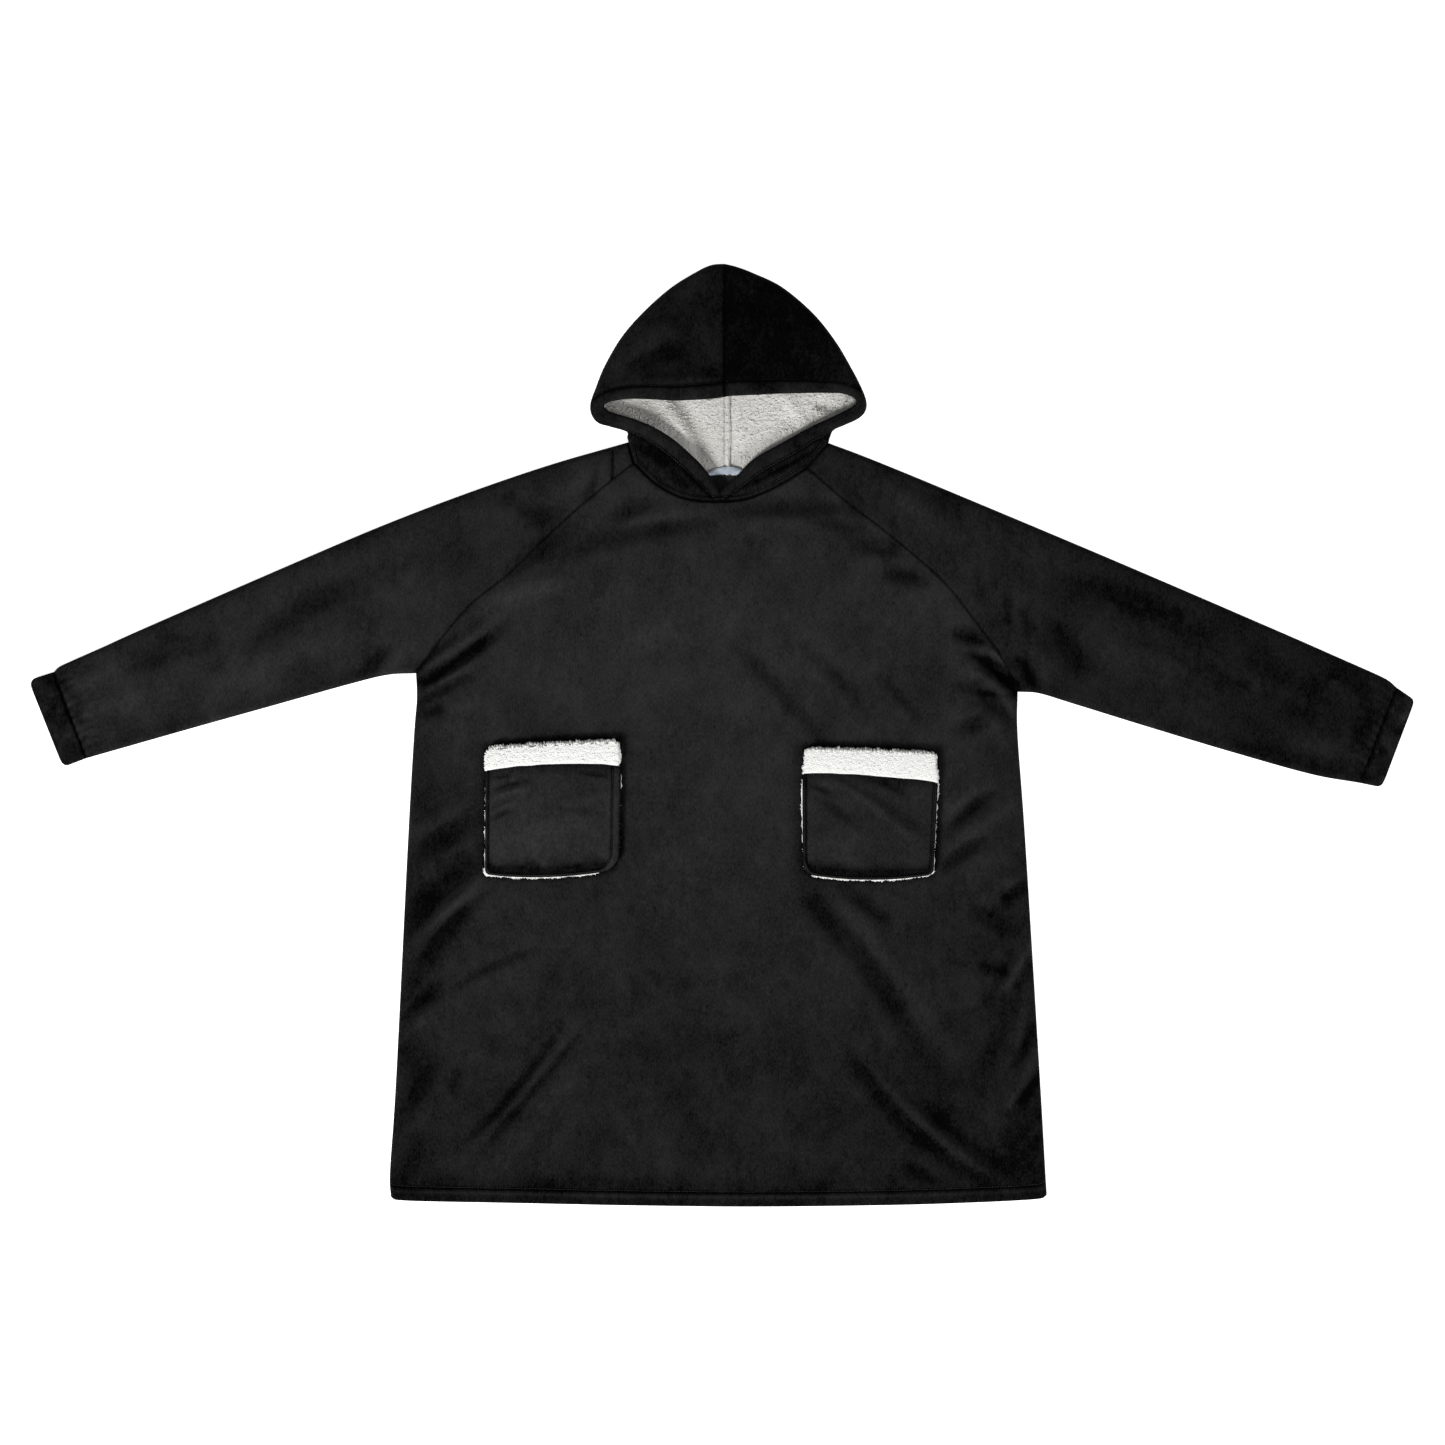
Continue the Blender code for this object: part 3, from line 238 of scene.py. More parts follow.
UNDERARM_LEFT = [CUFF_SEAM_LOW_LEFT, (-66.4, 0.8), (-56.4, 3.6), (-46.4, 6.4), (-41.8, 7.5), ARMPIT_LEFT]
UNDERARM_RIGHT = [CUFF_SEAM_LOW_RIGHT, (73.6, -4.9), (63.6, -2.1), (53.6, 0.9), (43.6, 4.0), (39.6, 5.2),
                  ARMPIT_RIGHT]

# Seams inside the outline
RAGLAN_LEFT = [ARMPIT_LEFT, (-34.4, 12.9), (-31.0, 16.7), (-27.0, 19.9), (-22.1, 24.6), (-16.8, 29.4),
               RAGLAN_TOP_LEFT]
RAGLAN_RIGHT = [ARMPIT_RIGHT, (34.7, 10.0), (32.1, 13.6), (28.5, 18.3), (25.6, 21.1), (21.0, 25.0),
                (15.8, 29.0), RAGLAN_TOP_RIGHT]
FRONT_NECK_LEFT = [RAGLAN_TOP_LEFT, (-8.4, 31.5), (-5.75, 30.0), (-3.4, 29.35), NECK_FRONT]
FRONT_NECK_RIGHT = [RAGLAN_TOP_RIGHT, (7.4, 31.4), (3.75, 29.75), (1.4, 29.3), NECK_FRONT]
BACK_NECK_LEFT = [NECK_BACK, (-4.0, 32.5), (-8.0, 33.1), RAGLAN_TOP_LEFT]
BACK_NECK_RIGHT = [NECK_BACK, (4.2, 32.4), (7.8, 32.8), RAGLAN_TOP_RIGHT]
SHOULDER_DART = [(-13.65, 35.5), (-13.65, 33.6), (-13.7, 32.1)]

# Hood sections, from the peak round the corner to the neck: a point on the mouth's edge, a point on the
# outline, and how high up the back seam the same section ends on the back layer
HOOD_ROWS_LEFT = rows_of(Section, [
    (0.2, 42.1, HOOD_PEAK.x, HOOD_PEAK.y, 56.4), (-0.6, 41.95, -1.3, 58.75, 56.0),
    (-1.5, 41.85, -3.1, 57.95, 55.3), (-3.2, 41.75, -6.4, 55.9, 53.6), (-5.8, 41.65, -9.8, 52.9, 51.4),
    (-8.5, 41.8, -12.6, 49.7, 48.4), (-11.0, 41.9, -14.7, 46.1, 45.6), (-13.0, 41.75, -15.8, 43.4, 43.2),
    (-14.3, 41.45, -16.45, 41.5, 41.6), (-14.7, 41.0, -16.35, 40.1, 40.4),
    (-14.1, 40.4, -15.5, 39.0, 39.3), (-12.6, 39.9, -13.9, 38.5, 38.2), (-10.9, 39.4, -11.95, 37.9, 36.6),
    (-10.1, 39.1, -11.85, 37.2, 35.4), (-9.3, 38.8, NECK_SIDE_LEFT.x, NECK_SIDE_LEFT.y, NECK_BACK.y),
])
HOOD_ROWS_RIGHT = rows_of(Section, [
    (0.2, 42.1, HOOD_PEAK.x, HOOD_PEAK.y, 56.4), (1.0, 42.2, 1.9, 58.5, 56.0),
    (2.0, 42.25, 4.0, 57.7, 55.3), (4.1, 42.35, 7.5, 56.0, 53.6), (6.9, 42.5, 11.4, 52.7, 51.4),
    (10.0, 42.6, 14.2, 49.2, 48.4), (12.8, 42.65, 16.1, 46.0, 45.6), (15.0, 42.6, 17.4, 43.5, 43.2),
    (16.4, 42.1, 18.05, 41.7, 41.6), (16.75, 41.5, 17.9, 40.4, 40.4), (16.1, 40.9, 17.0, 39.5, 39.3),
    (14.7, 40.15, 15.4, 38.75, 38.2), (12.9, 39.3, 13.95, 38.1, 36.6), (12.0, 38.9, 13.5, 37.2, 35.4),
    (11.1, 38.45, NECK_SIDE_RIGHT.x, NECK_SIDE_RIGHT.y, NECK_BACK.y),
])
# The hood's lower fronts: points on their edge, and the share of the neck seam where each section ends
FRONT_EDGE_LEFT = [(-9.3, 38.8), (-8.95, 38.65), (-8.4, 38.35), (-7.5, 37.85), (-5.85, 36.75), (-4.2, 35.3),
                   (-2.8, 33.95), (-1.6, 32.5), (-0.35, 30.2)]
FRONT_EDGE_RIGHT = [(11.1, 38.45), (10.6, 38.2), (9.8, 37.8), (8.6, 37.1), (6.7, 36.05), (4.8, 35.0),
                    (3.3, 33.9), (1.9, 32.4), (-0.6, 30.0)]
FRONT_SHARES = [0.0, 0.024, 0.057, 0.185, 0.35, 0.51, 0.67, 0.84, 1.0]
FRONT_OVERLAP = 9.0 * MM     # the left front goes on this far past the middle
OVERLAP_LIFT = 2.2 * MM

TOP_AT_ARMPIT_LEFT = 0.505   # share of the sleeve's top fold that lies out past the armpit
TOP_AT_ARMPIT_RIGHT = 0.535

# Pocket corners, the lower edge's sag, and the white band over the patch; level is the patch's lightness with
# its painted shade
POCKET_LEFT = dict(
    patch=[(-29.55, -17.3), (-12.75, -16.6), (-12.55, -4.0), (-29.5, -4.6)],
    band=[(-29.4, -1.5), (-12.9, -0.6)],
    sag=0.75, arch=0.6, seed=11, level=1.15, corners=(0.6, 2.1), band_corners=(1.0, 0.8),
    stitches=(4.2, 4.6, 10.6), turns=(5.0, 17.0), band_sides=((-0.4, 0.8), (-4.5, 1.6)),
    peeks=[Mark(-29.6, -6.8, -29.6, -15.8, 0.5, 1.65), Mark(-29.6, -16.6, -29.6, -17.4, 0.5, 1.5),
           Mark(-29.8, -17.4, -15.6, -17.8, 0.7, 2.3), Mark(-12.6, -5.4, -12.6, -6.2, 0.5, 1.8)],
)
POCKET_RIGHT = dict(
    patch=[(10.05, -17.2), (26.4, -17.3), (26.9, -6.1), (10.0, -4.9)],
    band=[(10.35, -1.6), (26.7, -2.2)],
    sag=0.8, arch=0.42, seed=12, level=0.92, corners=(1.3, 0.7), band_corners=(0.6, 0.5),
    stitches=(4.4, 4.6, 4.6), turns=(12.0, 4.0), band_sides=((-0.6, 0.0), (0.6, 0.0)),
    peeks=[Mark(10.0, -5.6, 10.0, -13.0, 0.6, 2.3), Mark(11.4, -18.0, 26.0, -18.1, 0.7, 2.5),
           Mark(26.9, -6.4, 26.7, -17.4, 0.6, 2.2), Mark(27.1, -6.2, 27.1, -7.6, 0.5, 1.2)],
)

# Folds of the front: centimetres from end to end and across, millimetres high, troughs below 0, and how far
# the middle of the fold bows to its left
FOLDS = rows_of(Crease, [
    (-37.9, 6.4, -27.9, 13.1, 0.85, -4.6, -0.5), (-38.6, 8.0, -29.0, 14.2, 0.7, 3.0, -0.4),
    (-37.8, 5.2, -30.6, 9.8, 0.6, 2.8, -0.3), (-37.4, 4.3, -32.1, 7.1, 0.7, -3.4, 0.2),
    (-37.4, 2.9, -33.8, 2.9, 0.8, -2.6, 0.2), (-37.2, 1.4, -30.6, 4.6, 0.8, 1.8, 0.3),
    (-37.0, 0.6, -32.0, 2.0, 1.3, 1.8, 0.0), (-26.6, 19.7, -18.9, 25.5, 1.3, -3.0, 0.6),
    (-28.4, 16.9, -18.4, 19.5, 1.6, 3.0, 0.6), (-19.2, 22.8, -3.1, 26.4, 1.4, -2.8, 0.9),
    (-14.0, 27.0, -7.7, 28.7, 1.2, -2.2, 0.3), (-14.0, 25.2, -3.0, 28.2, 1.4, 2.2, 0.5),
    (2.0, 28.0, 15.2, 28.2, 1.1, -2.8, 0.3), (7.2, 27.2, 17.4, 25.6, 1.0, -2.4, 0.4),
    (2.0, 26.4, 16.0, 26.6, 1.2, 2.2, 0.4), (17.0, 23.7, 21.9, 22.8, 1.0, -2.6, 0.2),
    (20.4, 20.4, 25.0, 19.4, 1.1, -2.4, 0.1), (29.0, 12.9, 33.0, 11.5, 1.0, -2.4, 0.2),
    (36.9, 4.9, 31.4, 9.9, 0.7, -4.8, -0.9), (36.6, 6.7, 32.4, 11.2, 0.55, 2.6, -0.7),
    (36.4, 3.2, 30.6, 8.2, 0.7, 2.8, -0.9), (36.0, 1.4, 30.0, 6.2, 0.8, -2.2, -0.8),
    (33.6, 4.8, 29.8, 0.6, 1.0, -2.6, 0.8), (35.8, -1.0, 31.0, 3.4, 1.3, 2.4, -0.6),
    (-38.9, -12.2, -34.0, -9.2, 1.3, 3.4, 0.2), (-38.0, -15.2, -31.4, -10.9, 1.3, -3.4, 0.4),
    (-38.8, -24.4, -31.4, -16.4, 1.5, -3.6, 0.7), (-38.6, -26.8, -29.2, -18.2, 1.1, 5.6, 0.8),
    (-37.6, -29.6, -29.4, -19.2, 1.2, -3.4, 0.9), (-38.9, -34.8, -35.4, -31.2, 1.1, -3.2, 0.3),
    (-39.6, -36.9, -35.2, -33.8, 1.2, 3.4, 0.3), (-39.2, -48.4, -35.7, -40.8, 1.2, -3.2, 0.5),
    (-39.8, -51.0, -36.4, -45.2, 1.3, 2.4, 0.4), (-33.6, -44.5, -32.2, -41.1, 0.8, -1.8, 0.2),
    (-32.9, -31.3, -23.5, -27.0, 0.6, -2.0, 0.5), (-30.6, -49.4, -20.8, -37.4, 0.6, -2.9, -0.5),
    (-29.8, -50.2, -19.6, -37.8, 0.6, 2.6, -0.3), (-29.0, -50.8, -18.6, -38.4, 0.55, -2.7, 0.0),
    (-26.6, -52.4, -14.8, -37.6, 1.5, 2.2, 0.8), (12.4, -21.4, 23.6, -37.3, 1.3, -3.0, 0.6),
    (10.8, -20.4, 15.2, -26.0, 1.1, -2.6, 0.3), (14.8, -19.3, 20.4, -23.1, 0.9, -2.6, 0.3),
    (16.0, -21.6, 27.4, -37.6, 1.4, 3.4, 0.6), (16.9, -41.0, 30.9, -54.4, 1.1, -3.6, -0.9),
    (19.0, -41.6, 35.0, -55.6, 1.0, 4.8, -0.9), (22.5, -53.6, 26.4, -55.8, 0.8, -2.6, 0.2),
    (24.0, -45.0, 33.0, -53.2, 1.2, -1.8, -0.5), (38.2, -25.2, 35.0, -31.6, 0.95, 4.2, 0.5),
    (37.9, -31.9, 35.5, -40.8, 0.95, 4.4, 0.5), (39.0, -39.3, 35.4, -46.3, 0.95, 4.0, 0.5),
    (36.2, -27.4, 33.2, -33.6, 1.1, -1.8, 0.4), (38.7, -37.2, 36.1, -41.2, 0.8, -2.8, 0.2),
    (35.6, -34.4, 32.8, -41.0, 1.2, -1.0, 0.4), (39.4, -42.1, 37.2, -45.6, 0.8, -2.8, 0.2),
    (27.8, -14.4, 36.9, -7.8, 1.15, 4.4, 0.5), (27.4, -10.1, 32.6, -6.0, 1.0, 3.0, 0.3),
    (28.9, -11.6, 33.8, -7.2, 0.9, -3.0, 0.3), (27.6, -16.6, 32.6, -13.2, 1.0, -3.0, 0.3),
    (33.2, -19.9, 38.0, -17.0, 1.1, 4.0, 0.3), (35.0, -20.9, 38.0, -18.6, 0.8, -3.2, 0.2),
    (32.0, -22.0, 36.0, -24.6, 1.2, -2.4, 0.3), (3.0, 10.0, 13.0, -1.6, 1.0, -1.4, 0.4),
    (8.6, 12.4, 18.6, 2.4, 1.0, -1.1, 0.4), (20.0, 7.0, 25.0, 1.4, 0.9, -1.0, 0.2),
    (-24.2, 28.6, -15.0, 33.6, 1.6, 2.2, 0.2), (-15.6, 33.9, -16.8, 29.6, 0.7, -2.4, 0.2),
    (19.0, 31.8, 29.0, 25.6, 1.8, 2.2, 0.3), (14.6, 32.4, 17.4, 26.8, 1.1, -1.8, 0.3),
    (-62.0, 6.0, -46.0, 14.0, 2.2, 2.4, 0.8), (-58.0, 11.0, -44.0, 20.0, 1.8, -1.6, 0.8),
    (-74.0, 8.4, -64.0, 12.4, 1.8, -2.2, 0.5), (-80.0, 3.0, -70.0, 5.6, 1.6, 1.8, 0.3),
    (-81.5, 6.0, -74.0, 9.4, 1.2, 1.6, 0.3), (-44.8, 7.6, -41.0, 11.0, 1.0, -2.8, 0.2),
    (-42.4, 7.8, -38.9, 11.8, 1.0, 2.8, 0.2), (46.0, 12.0, 60.0, 7.4, 2.2, 2.4, 0.6),
    (44.0, 19.0, 60.0, 13.0, 1.8, -1.6, 0.6), (64.0, 9.6, 76.0, 4.2, 1.8, -0.7, 0.5),
    (70.0, 0.6, 80.0, -2.6, 1.6, 1.8, 0.3), (37.0, 9.4, 39.0, 5.8, 0.9, -3.4, 0.3),
    (39.4, 11.6, 41.0, 6.4, 1.1, 2.8, 0.3), (41.6, 14.0, 45.0, 8.0, 1.4, -2.0, 0.3),
])
POCKET_FOLDS = rows_of(Crease, [
    (-28.8, -7.0, -24.2, -5.7, 0.35, -1.3, 0.3), (-28.8, -8.0, -24.0, -6.6, 0.35, 1.3, 0.3),
    (-28.8, -9.6, -25.6, -8.2, 0.35, 1.2, 0.1), (-28.6, -10.4, -26.0, -9.2, 0.4, -0.9, 0.1),
    (-17.4, -4.6, -14.4, -5.0, 0.3, -1.8, 0.0), (-28.2, -5.2, -26.2, -5.0, 0.35, -1.6, 0.1),
    (-20.0, -8.2, -14.0, -7.4, 0.6, 0.6, 0.1), (-21.0, -9.2, -14.4, -9.8, 0.6, -0.6, 0.1),
    (-26.8, -12.8, -18.0, -9.8, 1.2, 0.7, 0.2), (14.0, -5.6, 24.0, -13.0, 0.7, 1.5, 0.5),
    (11.6, -7.6, 17.0, -11.6, 0.7, -1.0, 0.3), (10.8, -6.0, 13.8, -7.4, 0.5, -1.6, 0.1),
    (19.0, -5.6, 23.0, -7.4, 0.6, -1.2, 0.2), (14.6, -5.4, 25.4, -12.6, 0.9, -0.9, 0.3),
])
HOOD_FOLDS = rows_of(Crease, [
    (-11.5, 47.5, -3.0, 53.5, 1.6, 2.4, 0.4), (-13.4, 44.6, -5.0, 48.2, 1.3, -2.0, 0.3),
    (-12.0, 43.8, -2.0, 44.4, 1.0, 1.4, 0.2), (-7.6, 50.6, -1.6, 55.0, 1.2, -1.6, 0.3),
    (4.0, 50.5, 12.5, 46.0, 1.7, 2.6, 0.4), (8.4, 49.0, 13.4, 46.6, 0.7, 1.4, 0.1),
    (3.0, 46.4, 11.0, 49.6, 1.5, -2.0, 0.3), (1.6, 54.6, 8.0, 52.0, 1.3, -1.6, 0.3),
    (-10.6, 36.9, -5.0, 32.2, 0.9, -1.6, 0.3), (11.6, 35.6, 4.2, 31.6, 0.4, -1.2, 0.15),
    (10.0, 36.6, 3.4, 32.6, 0.8, 1.4, -0.2),
])
LINING_FOLDS = rows_of(Crease, [
    (-8.0, 42.6, -3.6, 35.6, 1.1, 2.1, 0.4), (-6.0, 42.6, -2.4, 35.8, 1.0, -1.8, 0.4),
    (-13.0, 41.4, -8.6, 38.6, 0.9, -1.2, 0.2), (7.0, 43.0, 10.5, 38.0, 1.0, 1.4, 0.3),
    (11.6, 41.6, 14.6, 40.4, 0.8, -1.8, 0.1), (1.8, 42.0, 2.6, 34.4, 0.8, 1.0, 0.0),
])
# Painted shade of the lining, in its fold shadows and darker patches, and a little painted light: below 0
# darker, above 0 lighter
LINING_PAINTED_SHADE_MARKS = rows_of(Mark, [
    (-6.4, 41.9, -2.4, 35.6, 1.1, -0.5), (-10.0, 41.6, -6.6, 39.0, 1.2, -0.25),
    (-14.0, 41.4, -8.0, 40.4, 1.8, -0.32), (-3.6, 41.6, -0.8, 37.0, 1.0, 0.1),
    (-12.0, 40.8, -2.0, 38.0, 3.0, -0.1), (0.6, 41.6, 1.0, 34.4, 1.6, -0.1),
    (-13.6, 41.0, -9.0, 39.6, 1.0, -0.15), (-2.4, 35.8, -0.6, 33.4, 0.8, -0.3),
])
# Where the nap is stroked or pressed, and painted shade in fold troughs and painted highlights on fold
# ridges: below 0 darker, above 0 lighter
NAP_AND_PAINTED_SHADE_MARKS = rows_of(Mark, [
    (-26.4, 29.4, -22.2, 27.6, 1.5, -0.55), (-25.0, 27.4, -22.6, 26.4, 0.9, -0.35),
    (-44.0, 24.6, -30.0, 21.0, 3.0, -0.14), (-58.0, 12.0, -45.0, 14.6, 2.6, -0.16),
    (-36.0, 17.0, -32.0, 22.0, 2.0, -0.18), (-70.0, 10.0, -60.0, 13.0, 2.6, 0.12),
    (21.2, 26.6, 21.6, 23.8, 0.7, -0.5), (31.8, 20.2, 32.1, 17.0, 0.65, -0.5),
    (35.6, 16.8, 35.6, 14.2, 0.5, -0.7), (37.6, 15.4, 38.0, 13.2, 0.6, -0.45),
    (26.0, 29.6, 29.4, 27.2, 1.6, -0.35), (41.0, 12.0, 44.0, 7.0, 2.4, -0.3),
    (44.0, 20.0, 58.0, 8.0, 3.4, -0.22), (60.0, 12.0, 80.0, 2.0, 4.0, -0.12),
    (64.5, -1.2, 79.0, -5.2, 1.3, -0.55), (79.2, -1.0, 80.8, 2.4, 1.2, -0.5),
    (76.6, 8.0, 80.6, 5.0, 1.2, -0.4), (70.4, 3.4, 73.6, 2.2, 0.9, -0.35),
    (62.4, 6.9, 65.0, 6.4, 1.0, -0.35), (-82.4, 6.4, -79.6, 3.4, 0.6, -0.5),
    (-80.8, 3.0, -80.0, 1.6, 0.7, -0.5), (66.0, 6.0, 86.0, 0.0, 12.0, -0.28),
    (-8.2, 34.6, -6.8, 34.2, 0.9, -0.6), (-10.5, 36.0, -9.4, 35.2, 0.6, -0.6),
    (-5.9, 31.9, -4.6, 30.8, 0.7, -0.55), (-3.9, 32.6, -2.2, 30.6, 0.5, -0.7),
    (-7.4, 32.4, -6.4, 33.4, 0.5, 0.3), (4.3, 31.6, 11.5, 35.5, 0.28, -0.6),
    (5.0, 32.8, 7.4, 33.4, 0.7, -0.4), (2.0, 30.7, 4.4, 31.4, 0.5, -0.6),
    (9.6, 36.2, 11.2, 37.0, 0.7, -0.4), (26.0, -28.0, 30.0, -46.0, 7.0, -0.22),
    (36.6, -24.0, 38.4, -54.0, 2.0, -0.22), (33.5, -54.6, 38.5, -50.4, 2.4, -0.5),
    (31.0, -20.6, 33.6, -29.0, 2.4, -0.28), (33.4, -18.8, 35.6, -20.4, 0.9, -0.45),
    (32.6, -28.8, 35.2, -29.4, 0.8, -0.45), (36.8, -31.2, 38.4, -28.8, 0.8, -0.5),
    (36.4, -39.6, 38.9, -36.2, 0.7, -0.5), (37.0, -45.6, 39.8, -42.4, 0.8, -0.5),
    (38.4, -26.2, 35.4, -31.6, 0.45, 0.8), (38.2, -31.2, 36.6, -40.0, 0.45, 0.6),
    (39.2, -39.4, 35.8, -46.4, 0.45, 0.7), (39.8, -48.6, 37.6, -51.0, 0.45, 0.5),
    (-37.6, -21.5, -32.6, -15.8, 1.6, -0.32), (-37.6, -27.6, -33.2, -22.4, 1.1, -0.28),
    (-39.2, -35.2, -36.2, -31.9, 0.9, -0.35), (-39.4, -47.8, -36.4, -40.4, 1.7, -0.28),
    (-39.8, -55.2, -37.6, -50.6, 1.6, -0.35), (-38.2, -25.6, -30.4, -18.6, 0.5, 0.4),
    (-40.0, -34.6, -37.0, -31.2, 0.35, 0.5), (-40.4, -38.6, -37.4, -35.6, 0.35, 0.45),
    (-4.6, -18.6, -2.4, -19.8, 0.5, -0.3), (-36.0, 7.2, -29.6, 11.9, 0.55, -0.5),
    (-38.0, 8.0, -33.2, 12.4, 0.4, -0.6), (-38.0, 6.8, -35.6, 6.5, 0.3, -0.6),
    (36.6, 4.8, 32.2, 5.3, 0.35, -0.45), (36.9, 6.5, 34.7, 7.0, 0.5, -0.55),
    (34.6, 7.2, 33.4, 9.0, 0.45, -0.5), (33.4, 9.2, 31.4, 9.9, 0.4, -0.4),
    (37.7, 9.0, 38.8, 6.5, 0.45, -0.6), (21.2, 20.3, 24.4, 19.5, 0.6, -0.22),
    (29.2, 12.5, 32.6, 11.5, 0.55, -0.35), (30.0, -50.0, 36.0, -56.0, 4.5, -0.2),
    (-38.4, 7.4, -35.4, 11.4, 0.35, -0.6), (-37.6, 2.6, -34.4, 2.9, 0.5, -0.3),
    (36.6, 5.2, 32.2, 8.8, 0.5, -0.5), (37.1, 5.8, 35.4, 9.0, 0.35, -0.6),
    (-16.2, -51.4, -15.6, -55.0, 1.2, -0.22), (-11.6, -30.2, -8.2, -33.2, 0.5, -0.24),
    (-11.6, -30.2, -8.4, -29.4, 0.5, -0.2), (-7.8, -30.4, -7.6, -32.6, 0.5, -0.2),
    (-9.6, -42.0, 22.0, -52.0, 7.5, -0.18), (-30.0, -46.0, -20.0, -54.0, 3.6, -0.12),
    (-26.0, 4.0, -21.0, -0.6, 2.2, -0.16), (16.0, 4.0, 24.0, 6.0, 3.0, -0.12),
    (-12.0, 12.0, 10.0, 4.0, 8.0, 0.12), (-24.0, -24.0, -12.0, -30.0, 4.5, 0.1),
    (-4.0, -20.0, 4.0, -30.0, 5.0, 0.08), (-12.6, 46.6, -8.0, 50.6, 2.2, 0.5),
    (-13.4, 44.6, -10.4, 45.4, 1.2, 0.4), (-9.0, 44.6, -1.0, 45.2, 1.0, -0.7),
    (-7.4, 48.2, -4.2, 46.6, 1.1, -0.5), (-4.6, 55.0, -2.0, 50.0, 1.3, 0.4),
    (-6.6, 52.0, -4.6, 50.6, 1.0, -0.6), (-9.2, 51.4, -7.6, 51.8, 0.7, -0.5),
    (-2.4, 49.0, -1.0, 46.8, 0.8, 0.35), (-11.4, 46.0, -10.4, 46.6, 0.6, -0.6),
    (2.0, 45.0, 12.0, 44.6, 1.2, -0.5), (9.6, 49.2, 13.6, 46.8, 0.4, 2.2),
    (5.0, 50.6, 9.6, 49.4, 0.5, 1.1), (1.4, 56.0, 3.6, 53.0, 1.2, 0.8), (12.8, 54.0, 16.6, 43.8, 1.0, 0.8),
    (4.0, 47.6, 7.0, 46.0, 1.2, 0.6),
])


def plan_of(points):
    """Plan points in centimetres as rows of metres."""
    return np.array(points) * CM


def marks_of(path):
    """How far along a path of points each one lies."""
    return np.concatenate([[0.0], np.cumsum(np.linalg.norm(np.diff(path, axis=0), axis=1))])


def read_path(path, marks, wanted):
    """Points of a path where its marks reach the wanted values."""
    return np.stack([np.interp(wanted, marks, axis) for axis in path.T], axis=-1)


class Line:
    """A smooth plan line through points, read at shares of its length or at fractional point numbers."""

    STEPS = 16

    def __init__(self, points):
        knots = plan_of(points)
        path = np.vstack([2 * knots[0] - knots[1], knots, 2 * knots[-1] - knots[-2]])
        t = np.linspace(0.0, 1.0, self.STEPS + 1)[1:, None]
        stretches = [knots[:1]]
        for a, b, c, d in zip(path, path[1:], path[2:], path[3:]):
            bend = (2 * a - 5 * b + 4 * c - d) * t ** 2 + (3 * b - a - 3 * c + d) * t ** 3
            stretches.append(0.5 * (2 * b + (c - a) * t + bend))
        self.points = np.vstack(stretches)
        self.marks = marks_of(self.points)
        self.length = self.marks[-1]

    def at(self, shares):
        return read_path(self.points, self.marks, np.asarray(shares) * self.length)

    def knot(self, numbers):
        return read_path(self.points, np.arange(len(self.points)), np.asarray(numbers) * self.STEPS)


def distance_to(points, line):
    """Shortest way in plan from each point to a line of points."""
    best = np.full(points.shape[:-1], 1.0)
    for a, b in zip(line, line[1:]):
        way = b - a
        share = np.clip(((points - a) @ way) / max(way @ way, 1e-12), 0.0, 1.0)
        away = points - a - share[..., None] * way
        best = np.minimum(best, np.hypot(away[..., 0], away[..., 1]))
    return best


def from_mark(points, mark):
    """How far plan points lie from a mark's middle line, in widths of the mark."""
    return distance_to(points, plan_of([mark[:2], mark[2:4]])) / (mark.width * CM)


def near(distance, width):
    """1 at no distance, fading softly to 0 over about this width."""
    return np.exp(-(distance / width) ** 2)


def spread(lengths, first, between, last):
    """Distances along sections of these lengths: some near each end, the rest evenly between."""
    lengths = np.asarray(lengths)[:, None]
    scale = np.minimum(1.0, 0.86 * lengths / (first[-1] + last[-1]))
    start = first * scale
    end = lengths - last[::-1] * scale
    steps = np.arange(1, between + 1) / (between + 1)
    return np.hstack([start, start[:, -1:] + (end[:, :1] - start[:, -1:]) * steps, end])


def along(starts, ends, distances):
    """Plan points at distances from the starts of sections towards their ends."""
    way = ends - starts
    length = np.hypot(way[:, 0], way[:, 1])[:, None, None]
    return starts[:, None, :] + way[:, None, :] / length * distances[..., None]


def lengths_of(starts, ends):
    return np.hypot(*(ends - starts).T)


def ease(share):
    """A share from 0 to 1 that starts and ends softly."""
    share = np.clip(share, 0.0, 1.0)
    return share * share * (3.0 - 2.0 * share)


def soft_noise(points, size, seed):
    """Smooth noise between -1 and 1 over the plan, with lumps of about this size."""
    table = np.random.default_rng(seed).uniform(-1.0, 1.0, (64, 64))
    place = points / size + 17.0
    cell = np.floor(place).astype(int)
    share = ease(place - cell)
    near = [table[(cell[..., 0] + i) % 64, (cell[..., 1] + j) % 64] for i in (0, 1) for j in (0, 1)]
    low = near[0] + (near[1] - near[0]) * share[..., 1]
    high = near[2] + (near[3] - near[2]) * share[..., 1]
    return low + (high - low) * share[..., 0]


def waves(points, rows):
    """Sum of noises over the plan, from rows of their strength, size and seed."""
    return sum(strength * soft_noise(points, size, seed) for strength, size, seed in rows)


def clumps(points, size, seed):
    """Round lumps of pile of about this size: 1 in the middle of a lump and 0 between lumps."""
    table = np.random.default_rng(seed).uniform(0.1, 0.9, (64, 64, 2))
    place = points / size + 23.0
    cell = np.floor(place).astype(int)
    best = np.full(points.shape[:-1], 4.0)
    for i in (-1, 0, 1):
        for j in (-1, 0, 1):
            corner = cell + (i, j)
            middle = corner + table[corner[..., 0] % 64, corner[..., 1] % 64]
            best = np.minimum(best, ((place - middle) ** 2).sum(axis=-1))
    return np.clip(1.0 - best / 0.72, 0.0, 1.0)


def drift(points, size, seed):
    """Two noises as a wandering direction in plan."""
    return np.stack([soft_noise(points, size, seed), soft_noise(points, size + 1 * MM, seed + 1)], axis=-1)


